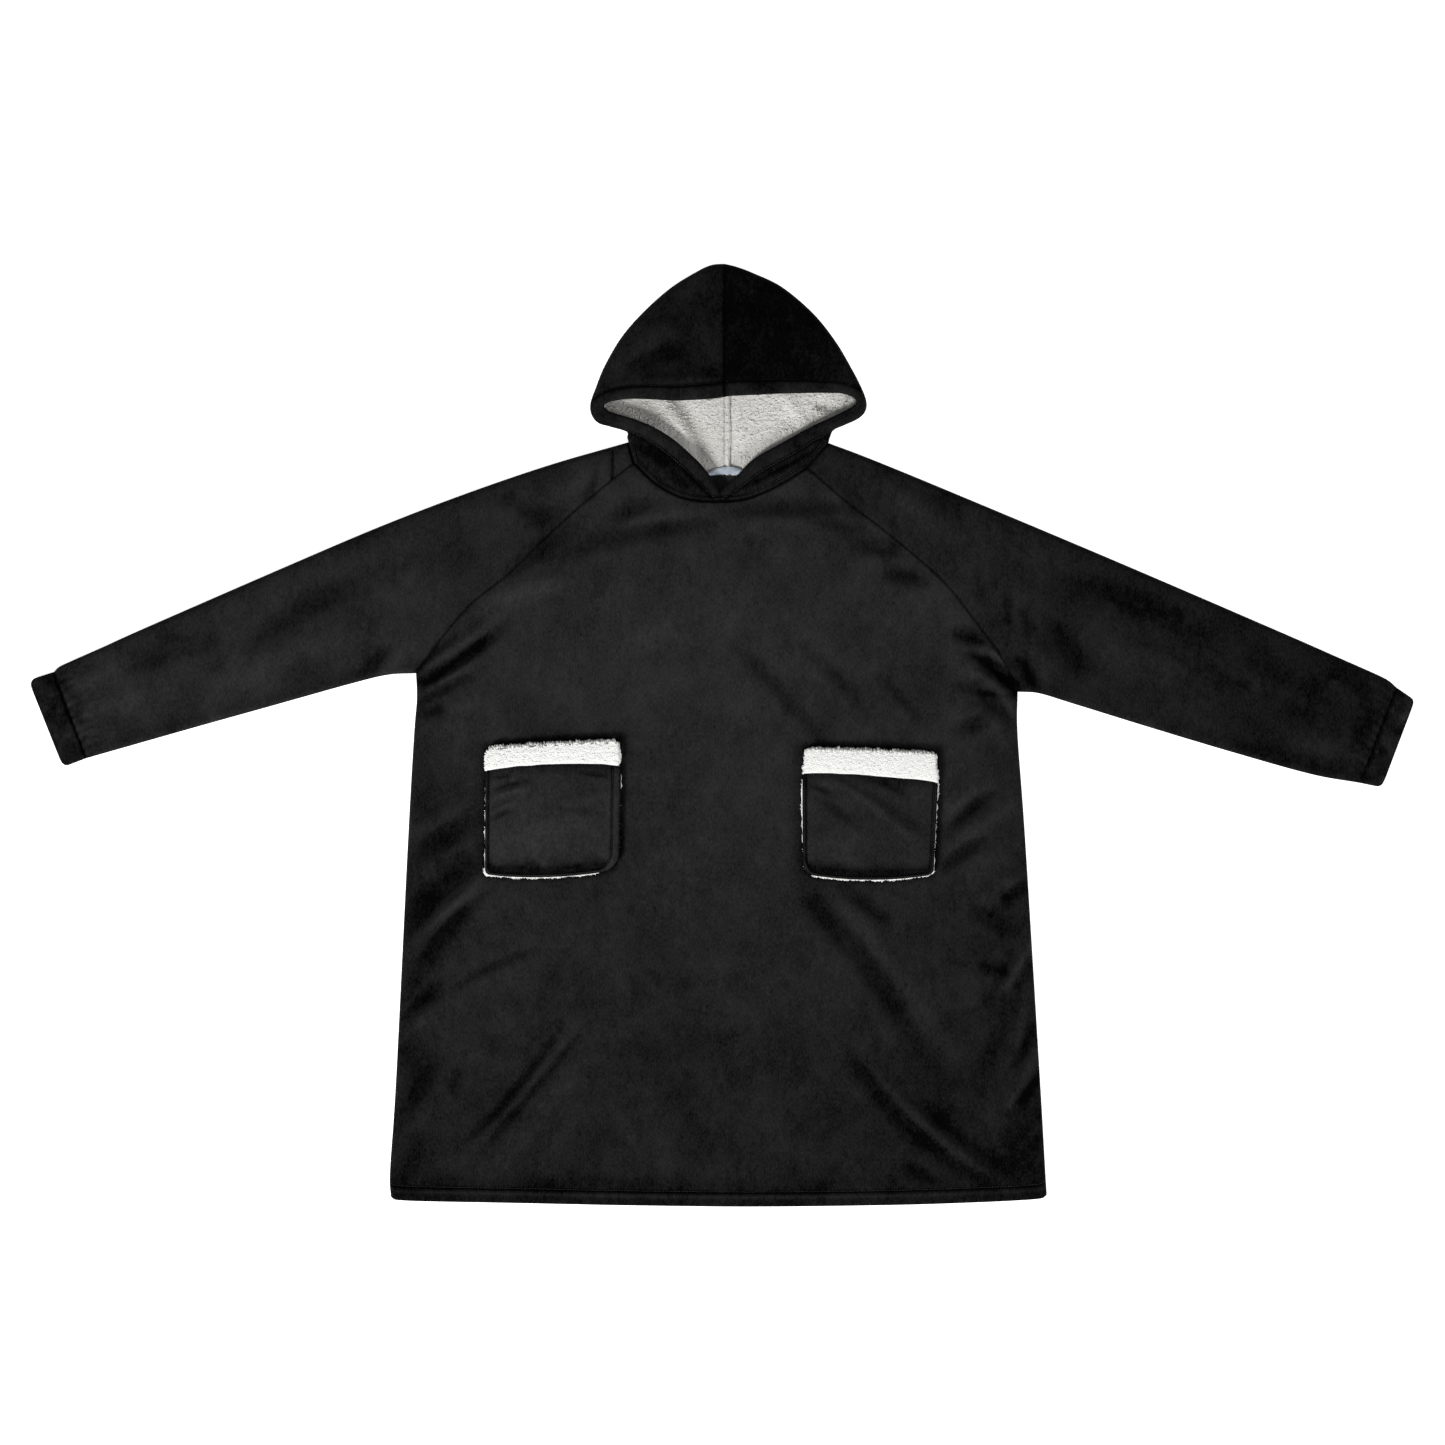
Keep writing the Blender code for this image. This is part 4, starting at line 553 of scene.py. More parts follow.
def pile(points, seed):
    """Height of sherpa's curled pile, from 0 to about 1."""
    warped = points + 1.6 * MM * drift(points, 5 * MM, seed)
    return 0.62 * clumps(warped, 5.2 * MM, seed + 2) + 0.38 * clumps(warped, 2.6 * MM, seed + 3)


def fold_height(points, creases):
    """Sum of the folds at plan points, in metres."""
    total = np.zeros(points.shape[:-1])
    for crease in creases:
        start, end = plan_of([crease[:2], crease[2:4]])
        way = end - start
        length = np.hypot(*way)
        left = np.array([-way[1], way[0]]) / length
        share = ((points - start) @ way) / length ** 2
        across = (points - start) @ left - crease.bow * CM * 4 * share * (1 - share)
        rise = (share + FOLD_TAIL) / (1.0 + 2.0 * FOLD_TAIL)
        taper = np.where((rise > 0.0) & (rise < 1.0), np.sin(pi * rise) ** 2, 0.0)
        across = across / (crease.width * FOLD_NARROW * CM)
        total += FOLD_GAIN * crease.height * MM * taper * np.exp(-across ** 2)
    return np.maximum(total, -TROUGH_LIMIT * np.tanh(-total / TROUGH_LIMIT))


def nap_and_painted_shade(points, level, folds=()):
    """How light the cloth is painted at plan points: a level, with painted shade and highlights of the folds,
    and marks that hold the nap's strokes as well as painted shade and highlights.
    """
    fold = np.tanh(fold_height(points, folds) / PAINTED_SHADE_FOLD)
    shade = level * np.exp(np.where(fold > 0.0, PAINTED_LIGHT_ON_RIDGES, PAINTED_SHADE_IN_TROUGHS) * fold)
    ragged = 1.0 + waves(points, RAGGED_MARKS)
    for mark in NAP_AND_PAINTED_SHADE_MARKS:
        shade += mark.shade * level * near(from_mark(points, mark), ragged)
    return shade


def painted_shade_factor(distance, width, share):
    """How much of the lightness is left under painted shade near stitches, seams and edges."""
    return 1.0 - share * near(distance, width)


def flat_round_pockets(points):
    """0 under a pocket, where the front lies smooth, and 1 further away."""
    keep = np.ones(points.shape[:-1])
    for table in (POCKET_LEFT, POCKET_RIGHT):
        low, high = plan_of(table["patch"])[0], plan_of(table["band"])[1]
        low = low - (0.0, table["sag"] * CM)
        outside = np.maximum(np.maximum(low - points, points - high), 0.0).max(axis=-1)
        keep = np.minimum(keep, ease((outside - PLATEAU) / PLATEAU_FADE))
    return keep


def groove(distance, depth, width):
    """A soft groove, or a ridge where the depth is below 0."""
    return -depth * near(distance, width)


def seam(distance):
    """A sewn seam: a narrow groove in a shallow dip."""
    return groove(distance, SEAM_DEPTH, SEAM_WIDTH) + groove(distance, SEAM_DIP, SEAM_DIP_WIDTH)


def turned_edge(distance, hem):
    """Puff of a turned hem between its edge and its stitches, and the groove at the stitches."""
    puff = np.where(distance < hem, HEM_PUFF * np.sin(pi * np.clip(distance / hem, 0, 1)) ** 0.8, 0.0)
    return puff + groove(distance - hem, STITCH_DEPTH, STITCH_WIDTH)


def round_free_edge(pair, distance):
    """Draws both sides of a wall towards its middle at an edge that is sewn to nothing."""
    outer, inner = pair
    reach = np.clip(distance / FREE_EDGE, 0.0, 1.0)
    keep = np.maximum(EDGE_LEFT, np.sqrt(reach * (2.0 - reach)))
    centre = (outer[..., 2] + inner[..., 2]) / 2
    outer[..., 2] = centre + (outer[..., 2] - centre) * keep
    inner[..., 2] = centre + (inner[..., 2] - centre) * keep
    return outer, inner


def solid_points(plan, height):
    """Points in space over plan points."""
    return np.concatenate([plan, np.broadcast_to(height, plan.shape[:-1])[..., None]], axis=-1)


def roll(distance):
    """How far round the roll at the outline the cloth is, as a share across it and a share up it."""
    reach = np.clip(distance / ROLL, 0.0, 1.0)
    return reach, np.sqrt(reach * (2.0 - reach))


def upper_layer(plan, height, distance, fold=None):
    """Outer and inner points of the layer on top, a distance in from the garment's outline.

    Where the cloth is folded over at the outline, fold is the plan direction that leads in from it.
    """
    reach, bend = roll(distance)
    height = np.maximum(height, MIDDLE + RIM + LEAST_WALL)
    if fold is None:
        outer = MIDDLE + RIM + (height - MIDDLE - RIM) * bend
        return solid_points(plan, outer), solid_points(plan, np.maximum(outer - WALL, MIDDLE + GAP / 2))
    inside = plan + fold * (WALL * (1.0 - reach))[..., None]
    inner = MIDDLE + np.maximum(height - MIDDLE - WALL, GAP / 2) * bend
    return solid_points(plan, MIDDLE + (height - MIDDLE) * bend), solid_points(inside, inner)


def lower_layer(plan, distance, fold=None, wall=WALL):
    """Outer and inner points of the layer on the floor, a distance in from the garment's outline."""
    reach, bend = roll(distance)
    if fold is None:
        outer = (MIDDLE - RIM) * (1.0 - bend)
        return solid_points(plan, outer), solid_points(plan, np.minimum(outer + wall, MIDDLE - GAP / 2))
    inside = plan + fold * (WALL * (1.0 - reach))[..., None]
    return solid_points(plan, MIDDLE * (1.0 - bend)), solid_points(inside, MIDDLE - (MIDDLE - wall) * bend)


def chosen(mask, first, second):
    """For each point, the first pair of arrays where the mask is set, or else the second pair."""
    return tuple(np.where(mask[..., None], a, b) for a, b in zip(first, second))


def square_to(points, side):
    """Plan directions square to a line of points, to its left when side is 1 and right when -1."""
    way = np.gradient(points, axis=0)
    way /= np.maximum(np.hypot(way[:, 0], way[:, 1]), 1e-9)[:, None]
    return np.stack([-way[:, 1], way[:, 0]], axis=-1) * side


def towards(starts, ends):
    """Plan directions from starts to ends."""
    return (ends - starts) / lengths_of(starts, ends)[:, None]


def wall(name, node, sheets, finishes, slot, closed=False):
    """A closed wall of cloth in a node's place. A sheet is what sheet() gives, in columns of rows.

    Sheets are welded where they meet, and a closed sheet to its own first column. With two finishes, the
    second is on the inside wherever the sheet's lined value is over a half.
    """
    mesh = bmesh.new()
    inner_point = mesh.verts.layers.float_vector.new("inner")
    # nap_shading holds the nap's own tone with painted shade and painted highlights, which the finishes turn
    # into colour
    nap_shading = mesh.verts.layers.float.new("nap_shading")
    lined = mesh.verts.layers.float.new("lined")
    for outer, inner, shade, inside in sheets:
        last_column, last_row = outer.shape[0] - 1, outer.shape[1] - 1
        outer, inner = outer.tolist(), inner.tolist()
        shade, inside = shade.tolist(), inside.tolist()
        grid = bmesh.ops.create_grid(mesh, x_segments=last_column, y_segments=last_row, size=0.5)
        for vert in grid["verts"]:
            column = round((vert.co.x + 0.5) * last_column)
            row = round((vert.co.y + 0.5) * last_row)
            vert.co = outer[column][row]
            vert[inner_point] = inner[column][row]
            vert[nap_shading] = shade[column][row]
            vert[lined] = inside[column][row]
    if closed or len(sheets) > 1:
        bmesh.ops.remove_doubles(mesh, verts=mesh.verts, dist=0.01 * MM)
    made = bmesh.ops.extrude_face_region(mesh, geom=mesh.faces[:])["geom"]
    for item in made:
        if isinstance(item, bmesh.types.BMVert):
            item.co = item[inner_point]
        elif isinstance(item, bmesh.types.BMFace) and len(finishes) > 1:
            item.material_index = int(sum(vert[lined] for vert in item.verts) > 0.5 * len(item.verts))
    bmesh.ops.recalc_face_normals(mesh, faces=mesh.faces)
    for layers, layer in ((mesh.verts.layers.float_vector, "inner"), (mesh.verts.layers.float, "lined")):
        layers.remove(layers[layer])
    piece = finished(name, mesh, finishes)
    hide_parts(node)
    return piece


def finished(name, mesh, finishes):
    """Turns a bmesh into a smooth piece of the garment that rides on its one body."""
    data = bpy.data.meshes.new(name)
    mesh.to_mesh(data)
    mesh.free()
    for finish in finishes:
        data.materials.append(finish)
    data.shade_smooth()
    piece = bpy.data.objects.new(name, data)
    garment.objects.link(piece)
    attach(piece, "root")
    return piece


def sheet(outer, inner, shade=0.0, inside=0.0):
    """Outer points, inner points, nap_shading values (the nap's tone with painted shade) and lined values,
    with the last two filled out to every point.
    """
    size = outer.shape[:2]
    return outer, inner, np.broadcast_to(shade, size), np.broadcast_to(inside, size)


class Socket:
    """An output of a node in a finish. Arithmetic on it adds Math nodes."""

    def __init__(self, finish, output):
        self.finish = finish
        self.output = output

    def math(self, operation, first, second):
        return self.finish.node("ShaderNodeMath", {"operation": operation}, {0: first, 1: second})

    def __add__(self, other):
        return self.math("ADD", self, other)

    def __radd__(self, other):
        return self.math("ADD", other, self)

    def __sub__(self, other):
        return self.math("SUBTRACT", self, other)

    def __rsub__(self, other):
        return self.math("SUBTRACT", other, self)

    def __mul__(self, other):
        return self.math("MULTIPLY", self, other)

    def __rmul__(self, other):
        return self.math("MULTIPLY", other, self)

    def __pow__(self, other):
        return self.math("POWER", self, other)


class Finish:
    """A material whose nodes feed one Principled shader. Constants go straight to the shader's sockets."""

    def __init__(self, name, constants):
        self.material = bpy.data.materials.new(name)
        self.material.use_nodes = True
        self.tree = self.material.node_tree
        self.surface = self.tree.nodes["Principled BSDF"]
        for socket, value in constants.items():
            self.surface.inputs[socket].default_value = value
        self.place = self.node("ShaderNodeTexCoord", {}, {}, "Object")

    def node(self, kind, settings, inputs, output=0):
        made = self.tree.nodes.new(kind)
        for setting, value in settings.items():
            setattr(made, setting, value)
        for socket, value in inputs.items():
            self.feed(made.inputs[socket], value)
        return Socket(self, made.outputs[output])

    def feed(self, socket, value):
        if isinstance(value, Socket):
            self.tree.links.new(value.output, socket)
        else:
            socket.default_value = value

    def nap_shading_level(self):
        """The nap_shading value that wall() leaves in each point of a piece: the nap's own tone with painted
        shade and painted highlights.
        """
        return self.node("ShaderNodeAttribute", {"attribute_name": "nap_shading"}, {}, "Fac")

    def noise(self, scale, detail=2.0, stretch=(1.0, 1.0, 1.0), turn=0.0, rough=0.5):
        """Noise from about 0 to 1 with this many lumps to a metre, drawn out along the plan."""
        place = self.node("ShaderNodeMapping", {}, {"Vector": self.place, "Scale": stretch,
                                                    "Rotation": (0.0, 0.0, turn)})
        return self.node("ShaderNodeTexNoise", {}, {"Vector": place, "Scale": scale, "Detail": detail,
                                                    "Roughness": rough})

    def between(self, low, high, value):
        """0 where the value is at or under low, 1 at or over high."""
        return self.node("ShaderNodeMapRange", {"interpolation_type": "SMOOTHSTEP"},
                         {"Value": value, "From Min": low, "From Max": high})

    def blend(self, first, second, share):
        """One colour turning into another as the share goes from 0 to 1."""
        return self.node("ShaderNodeMix", {"data_type": "RGBA"}, {0: share, 6: first, 7: second}, 2)

    def bump(self, height, depth, strength, under=None):
        inputs = {"Height": height, "Distance": depth, "Strength": strength}
        if under:
            inputs["Normal"] = under
        return self.node("ShaderNodeBump", {}, inputs)

    def show(self, **sockets):
        for socket, value in sockets.items():
            self.feed(self.surface.inputs[socket.replace("_", " ")], value)
        return self.material


def black_fleece():
    """Flannel fleece: very dark, with a short nap that looks lighter or darker as it is stroked."""
    finish = Finish("black_flannel_fleece", {
        "Sheen Weight": 0.012, "Sheen Roughness": 0.4, "Sheen Tint": (0.8, 0.8, 0.82, 1.0),
        "Specular IOR Level": 0.03, "Roughness": 0.9,
    })
    level = finish.nap_shading_level()
    broad = finish.noise(8.0, 2.0)
    cloudy = finish.noise(24.0, 8.0, (1.0, 0.85, 1.0), 0.4, 0.62)
    strokes = finish.noise(150.0, 4.0, (1.0, 0.5, 1.0), -0.1, 0.6)
    grain = finish.noise(560.0, 2.0, (1.0, 0.45, 1.0))
    crushed = finish.between(0.47, 0.66, finish.noise(13.0, 3.0)) * finish.between(0.46, 0.62, strokes)
    mottle = broad * 0.3 + cloudy * 0.95 + strokes * 0.7 + grain - 1.45 - 0.26 * crushed
    # The level is the nap_shading attribute: the nap's own strokes and marks, with painted shade and painted
    # highlights of folds, seams, edges and pockets, and the darker painted right side
    colour = finish.blend((0.0004, 0.0004, 0.0005, 1.0), (0.0320, 0.0320, 0.0330, 1.0),
                          level * 0.54 + mottle * (0.45 + 0.4 * level))
    nap_shading = finish.bump(finish.noise(700.0, 3.0, (1.0, 0.6, 1.0)), 0.8 * MM, 0.45)
    nap_shading = finish.bump(strokes, 1.2 * MM, 0.3, nap_shading)
    return finish.show(Base_Color=colour, Roughness=0.82 + 0.14 * cloudy, Normal=nap_shading)


def white_sherpa(name, low, high):
    """Sherpa: short curled white pile, with painted shade, darker and creamier, deep between its curls and in
    its folds.
    """
    finish = Finish(name, {
        "Sheen Weight": 0.35, "Sheen Roughness": 0.5, "Sheen Tint": (1.0, 0.99, 0.96, 1.0),
        "Specular IOR Level": 0.15, "Roughness": 0.95,
    })
    level = finish.nap_shading_level()
    curls = finish.node("ShaderNodeTexVoronoi", {"feature": "F1"}, {
        "Vector": finish.node("ShaderNodeVectorMath", {"operation": "ADD"}, {
            0: finish.place,
            1: finish.node("ShaderNodeVectorMath", {"operation": "SCALE"}, {
                0: finish.node("ShaderNodeTexNoise", {}, {"Vector": finish.place, "Scale": 320.0}, 1),
                "Scale": 0.003}),
        }), "Scale": 560.0})
    fibres = finish.noise(1500.0, 3.0, (1.0, 0.4, 1.0), 0.6)
    clouds = finish.noise(46.0, 3.0)
    depth = finish.between(0.05, 0.95, level * 0.62 + fibres * 0.2 + clouds * 0.18)
    colour = finish.blend(low, high, depth)
    nap_shading = finish.bump(1.0 - curls, 1.1 * MM, 0.55)
    nap_shading = finish.bump(fibres, 0.5 * MM, 0.5, nap_shading)
    return finish, colour, nap_shading


def pocket_sherpa():
    finish, colour, nap_shading = white_sherpa("white_sherpa", (0.66, 0.65, 0.62, 1.0), (0.90, 0.90, 0.88, 1.0))
    return finish.show(Base_Color=colour, Normal=nap_shading)


def hood_sherpa():
    """The hood's lining, a little greyer, with a faint tan smudge on its right side."""
    finish, colour, nap_shading = white_sherpa("cream_sherpa", (0.36, 0.35, 0.32, 1.0), (0.74, 0.73, 0.70, 1.0))
    place = finish.node("ShaderNodeMapping", {"vector_type": "TEXTURE"}, {
        "Vector": finish.place, "Location": (0.1195, 0.4085, 0.006), "Scale": (0.0085, 0.0062, 0.02)})
    smudge = finish.node("ShaderNodeTexGradient", {"gradient_type": "SPHERICAL"}, {"Vector": place}, 1)
    patchy = finish.between(0.0, 0.6, smudge) * finish.between(0.35, 0.6, finish.noise(260.0, 3.0))
    return finish.show(Base_Color=finish.blend(colour, (0.20, 0.17, 0.11, 1.0), patchy * 0.75), Normal=nap_shading)


def label_cloth():
    """Pale satin ribbon, woven fine across its length and left bare."""
    finish = Finish("pale_label_ribbon", {"Roughness": 0.45, "Sheen Weight": 0.2, "Specular IOR Level": 0.4})
    weave = finish.node("ShaderNodeTexWave", {"wave_type": "BANDS"}, {
        "Vector": finish.place, "Scale": 900.0, "Distortion": 0.6})
    tone = finish.noise(90.0, 2.0)
    colour = finish.blend((0.40, 0.47, 0.56, 1.0), (0.70, 0.76, 0.84, 1.0), finish.between(0.3, 0.7, tone))
    return finish.show(Base_Color=colour, Normal=finish.bump(weave, 0.15 * MM, 0.4))


def sewing_thread():
    """Black polyester thread with a slight gloss and a twist."""
    finish = Finish("black_thread", {"Roughness": 0.5, "Specular IOR Level": 0.4, "Sheen Weight": 0.2})
    twist = finish.node("ShaderNodeTexWave", {"wave_type": "BANDS", "bands_direction": "DIAGONAL"}, {
        "Vector": finish.place, "Scale": 1400.0})
    colour = finish.blend((0.006, 0.006, 0.007, 1.0), (0.03, 0.03, 0.032, 1.0), finish.noise(300.0))
    return finish.show(Base_Color=colour, Normal=finish.bump(twist, 0.1 * MM, 0.4))


def paper_floor():
    finish = Finish("pale_paper", {"Roughness": 0.9, "Specular IOR Level": 0.1, "Emission Strength": 0.9,
                                    "Emission Color": (1.0, 1.0, 1.0, 1.0)})
    tone = finish.blend((0.93, 0.93, 0.93, 1.0), (0.95, 0.95, 0.95, 1.0), finish.noise(3.0))
    return finish.show(Base_Color=tone, Normal=finish.bump(finish.noise(500.0), 0.1 * MM, 0.1))


def from_seams(points):
    """Ways from plan points to the nearest raglan seam and to the front neck seam."""
    raglan = np.minimum(distance_to(points, raglan_left.points), distance_to(points, raglan_right.points))
    return raglan, distance_to(points, front_neck_line)


def front_height(points):
    """Upper side of the front layer, with its folds and seams."""
    folds = (fold_height(points, FOLDS) + waves(points, UNEVENNESS)) * flat_round_pockets(points)
    raglan, neck = from_seams(points)
    pucker = waves(points, SEAM_PUCKER) * np.exp(-np.minimum(raglan, neck) / (9 * MM))
    return FRONT_TOP + folds + RAGLAN_SHARE * seam(raglan) + seam(neck) + pucker


def seams_painted_shade(points):
    """Share of the lightness left under painted shade along the raglan seams and the neck seam."""
    raglan, neck = from_seams(points)
    return painted_shade_factor(raglan, *DARK_AT_RAGLAN) * painted_shade_factor(neck, *DARK_AT_NECK)


def pocket_shadow(points):
    """Share of the lightness left on the front beside the pockets, under the painted shadow of the raised
    patch and band.
    """
    keep = np.ones(points.shape[:-1])
    for table in (POCKET_LEFT, POCKET_RIGHT):
        low = lower_edge(table, np.linspace(0.0, 1.0, 30))
        border = np.vstack([plan_of(table["band"]), low[::-1], plan_of(table["band"][:1])])
        away = distance_to(points, border)
        keep = keep * painted_shade_factor(away, *DARK_BESIDE_PATCH) * painted_shade_factor(away, *DARK_ROUND_PATCH)
    return keep


def painted_shade_to_hem(points):
    """Share of the lightness left from the chest down to the hem, with painted shade that grows towards the
    hem.
    """
    return 1.0 - CHEST_TO_HEM_PAINTED_SHADE * ease((CHEST - points[..., 1]) / CHEST_TO_HEM)


def raglan_shares():
    """Shares of a raglan seam: fine at the armpit, where the cloth rolls over at the side, then even."""
    at_armpit = np.array([0.0, 0.001, 0.0034, 0.007, 0.0125, 0.02, 0.03, 0.041])
    return np.concatenate([at_armpit, np.linspace(0.055, 0.88, 56), np.linspace(0.886, 1.0, 22)])


def body_plan(neck_left, neck_right, rows_between, at_top, shares):
    """Plan points of a body panel in columns from the hem to its top seams, and their way from the hem."""
    high = np.vstack([raglan_left.at(shares), neck_left[1:], neck_right[-2::-1],
                      raglan_right.at(shares[-2::-1])])
    share = (high[:, 0] - high[0, 0]) / (high[-1, 0] - high[0, 0])
    low = hem_line.at(share)
    low[:, 0] = hem_line.at(0.0)[0] + share * (hem_line.at(1.0)[0] - hem_line.at(0.0)[0])
    length = lengths_of(low, high)
    distance = spread(length, AT_HEM, rows_between, at_top)
    plan = along(low, high, distance)
    up = distance / length[:, None]
    for side, weight in ((side_left, 1.0 - share), (side_right, share)):
        ends = side.at([0.0, 1.0])
        chord = ends[0] + (ends[1] - ends[0]) * up[..., None]
        plan += (side.at(up) - chord) * weight[:, None, None]
    return plan, distance


def edge_distance(plan):
    """Ways from plan points to the nearer side of the body."""
    return np.minimum(distance_to(plan, side_left.points), distance_to(plan, side_right.points))


def front_panel():
    fine = np.linspace(0.0, 1.0, 29)
    plan, from_hem = body_plan(front_neck_left.at(fine), front_neck_right.at(fine), 180, AT_SEAM,
                               raglan_shares())
    hem_wave = waves(plan, HEM_WAVE) * near(from_hem - HEM, 9 * MM)
    height = front_height(plan) + turned_edge(from_hem, HEM) + hem_wave
    away = edge_distance(plan)
    pair = round_free_edge(upper_layer(plan, height, away), from_hem)
    # Painted shade at the hem's edge and just over its stitches, a painted highlight just below them, and
    # painted shade along the sides, beside the pockets and towards the hem
    hem_highlight = HEM_PAINTED_HIGHLIGHT * near(HEM - 5 * MM - from_hem, HEM_HIGHLIGHT_WIDTH)
    on_hem = HEM_LOWEST + HEM_RISE * from_hem / HEM + hem_highlight
    over_hem = 1.0 - OVER_HEM_PAINTED_SHADE * near(from_hem - HEM - 5 * MM, 14 * MM)
    shade = nap_and_painted_shade(plan, 1.0, FOLDS) * seams_painted_shade(plan) * painted_shade_factor(from_hem - HEM, *DARK_AT_HEM)
    shade = shade * np.where(from_hem < HEM, on_hem, over_hem)
    shade = shade * painted_shade_factor(away, *DARK_AT_SIDE) * pocket_shadow(plan) * painted_shade_to_hem(plan)
    piece = wall("front_cloth", "front_panel", [sheet(*pair, shade)], [fleece], "flannel")
    sewing.append(run_at(pair[0], from_hem, HEM))


def back_panel():
    fine = np.linspace(0.0, 1.0, 22)
    shares = np.concatenate([raglan_shares()[:8], np.linspace(0.07, 1.0, 24)])
    plan, from_hem = body_plan(back_neck_left.at(fine)[::-1], back_neck_right.at(fine)[::-1], 70,
                               AT_SEAM[::2], shares)
    pair = round_free_edge(lower_layer(plan, edge_distance(plan)), from_hem)
    # Painted light where the back panel shows inside the hood's mouth, between the fronts, where shade falls
    painted_light_in_mouth = near(distance_to(plan, plan_of([(-0.4, 30.6), (0.8, 32.4)])), 1.6 * CM)
    shade = nap_and_painted_shade(plan, 0.9) + 1.3 * painted_light_in_mouth
    wall("back_cloth", "back_panel", [sheet(*pair, shade)], [fleece], "flannel")


def sleeve(node, top, underarm, raglan, top_at_armpit, level):
    """A raglan sleeve: columns from its lower edge in front, over the top fold, to that at the back."""
    shares = raglan_shares()
    arm = np.concatenate([[0.0, 0.0012, 0.003, 0.006, 0.011, 0.018], np.linspace(0.027, 0.985, 84)])
    low = np.vstack([underarm.at(arm), raglan.at(shares)])
    high = np.vstack([top.at(arm * top_at_armpit), top.at(top_at_armpit + shares * (1.0 - top_at_armpit))])
    fold = towards(high, low)[:, None, :]
    length = lengths_of(high, low)
    sides = []
    for between, layer in ((52, upper_layer), (10, lower_layer)):
        distance = spread(length, AT_ROLL, between, AT_ROLL)
        plan = along(high, low, distance)
        edge = np.where(distance == 0.0, 0.0, distance_to(plan, top.points))
        under = distance_to(plan, underarm.points)
        if layer is upper_layer:
            from_cuff = distance_to(plan, np.array([low[0], high[0]]))
            gather = np.sin(2 * pi * distance / GATHER_PITCH + waves(plan, SLEEVE_GATHERS))
            dart = distance_to(plan, shoulder_dart.points)
            height = front_height(plan) + seam(from_cuff)
            height += GATHER * gather * near(from_cuff, GATHER_REACH)
            height += groove(dart, *DART_GROOVE) + groove(dart, *DART_DIP)
            pair = chosen(under < edge, layer(plan, height, under), layer(plan, height, edge, fold))
            # Painted shade in folds, seams, the dart, at the cuff seam and along the sleeve's edges, with
            # painted light and shade over the gathers by the cuff
            shade = nap_and_painted_shade(plan, level, FOLDS) * seams_painted_shade(plan) * painted_shade_factor(dart, *DARK_AT_DART)
            gather_painted_light = 1.0 + 0.3 * gather * near(from_cuff, 14 * MM)
            shade = shade * gather_painted_light * painted_shade_factor(from_cuff, *DARK_AT_SLEEVE_END)
            shade = shade * painted_shade_factor(np.minimum(under, edge), *DARK_ALONG_SLEEVE)
        else:
            pair = chosen(under < edge, layer(plan, under), layer(plan, edge, fold))
        sides.append((pair, plan))
    (front, _), (back, back_plan) = sides
    outer, inner = (np.concatenate([a[:, ::-1], b[:, 1:]], axis=1) for a, b in zip(front, back))
    shade = np.concatenate([shade[:, ::-1], nap_and_painted_shade(back_plan, level)[:, 1:]], axis=1)
    piece = wall(node + "_cloth", node, [sheet(outer, inner, shade)], [fleece], "flannel")


def cuff(node, corners, level, radii):
    """A cuff: a flattened band of cloth, closed all round, from the sleeve's end outwards."""
    start_top, start_low, end_top, end_low = plan_of(corners)
    length = np.hypot(*(end_top - start_top))
    distance = spread([length], AT_SEAM[:6], 22, AT_HEM[:6])[0]
    share = (distance / length)[:, None]
    high = start_top + (end_top - start_top) * share
    low = start_low + (end_low - start_low) * share
    down = towards(high, low)
    drawn_high, drawn_low = (rounded(length - distance, np.full_like(distance, length), (radius, 1.0))
                             for radius in radii)
    high, low = high + down * drawn_high[:, None], low - down * drawn_low[:, None]
    width = lengths_of(high, low)
    across = spread(width, AT_ROLL, 40, AT_ROLL)
    plan = along(high, low, across)
    way = towards(high, low)[:, None, :] * np.where(across < width[:, None] / 2, 1.0, -1.0)[..., None]
    edge = np.minimum(across, width[:, None] - across)
    out = distance[:, None]
    gather = np.sin(2 * pi * across / GATHER_PITCH + waves(plan, CUFF_GATHERS))
    height = FRONT_TOP + HEM_PUFF * np.sin(pi * share) + seam(out)
    height = height + 0.6 * GATHER * gather * near(out, 14 * MM) + 0.5 * waves(plan, UNEVENNESS)
    upper = round_free_edge(upper_layer(plan, height, edge, way), length - out)
    lower = round_free_edge(lower_layer(plan, edge, way), length - out)
    outer, inner = (np.concatenate([a, b[:, -2::-1]], axis=1) for a, b in zip(upper, lower))
    # Random blotches of tone, with painted shade at the cuff's seam and at its open end
    shade = level * np.exp(waves(plan, CUFF_BLOTCHES)) * painted_shade_factor(out, *DARK_AT_CUFF_SEAM)
    shade = shade * painted_shade_factor(length - out, *DARK_AT_CUFF_END)
    shade = np.concatenate([shade, shade[:, -2::-1]], axis=1)
    piece = wall(node + "_cloth", node, [sheet(outer, inner, shade)], [fleece], "flannel", closed=True)


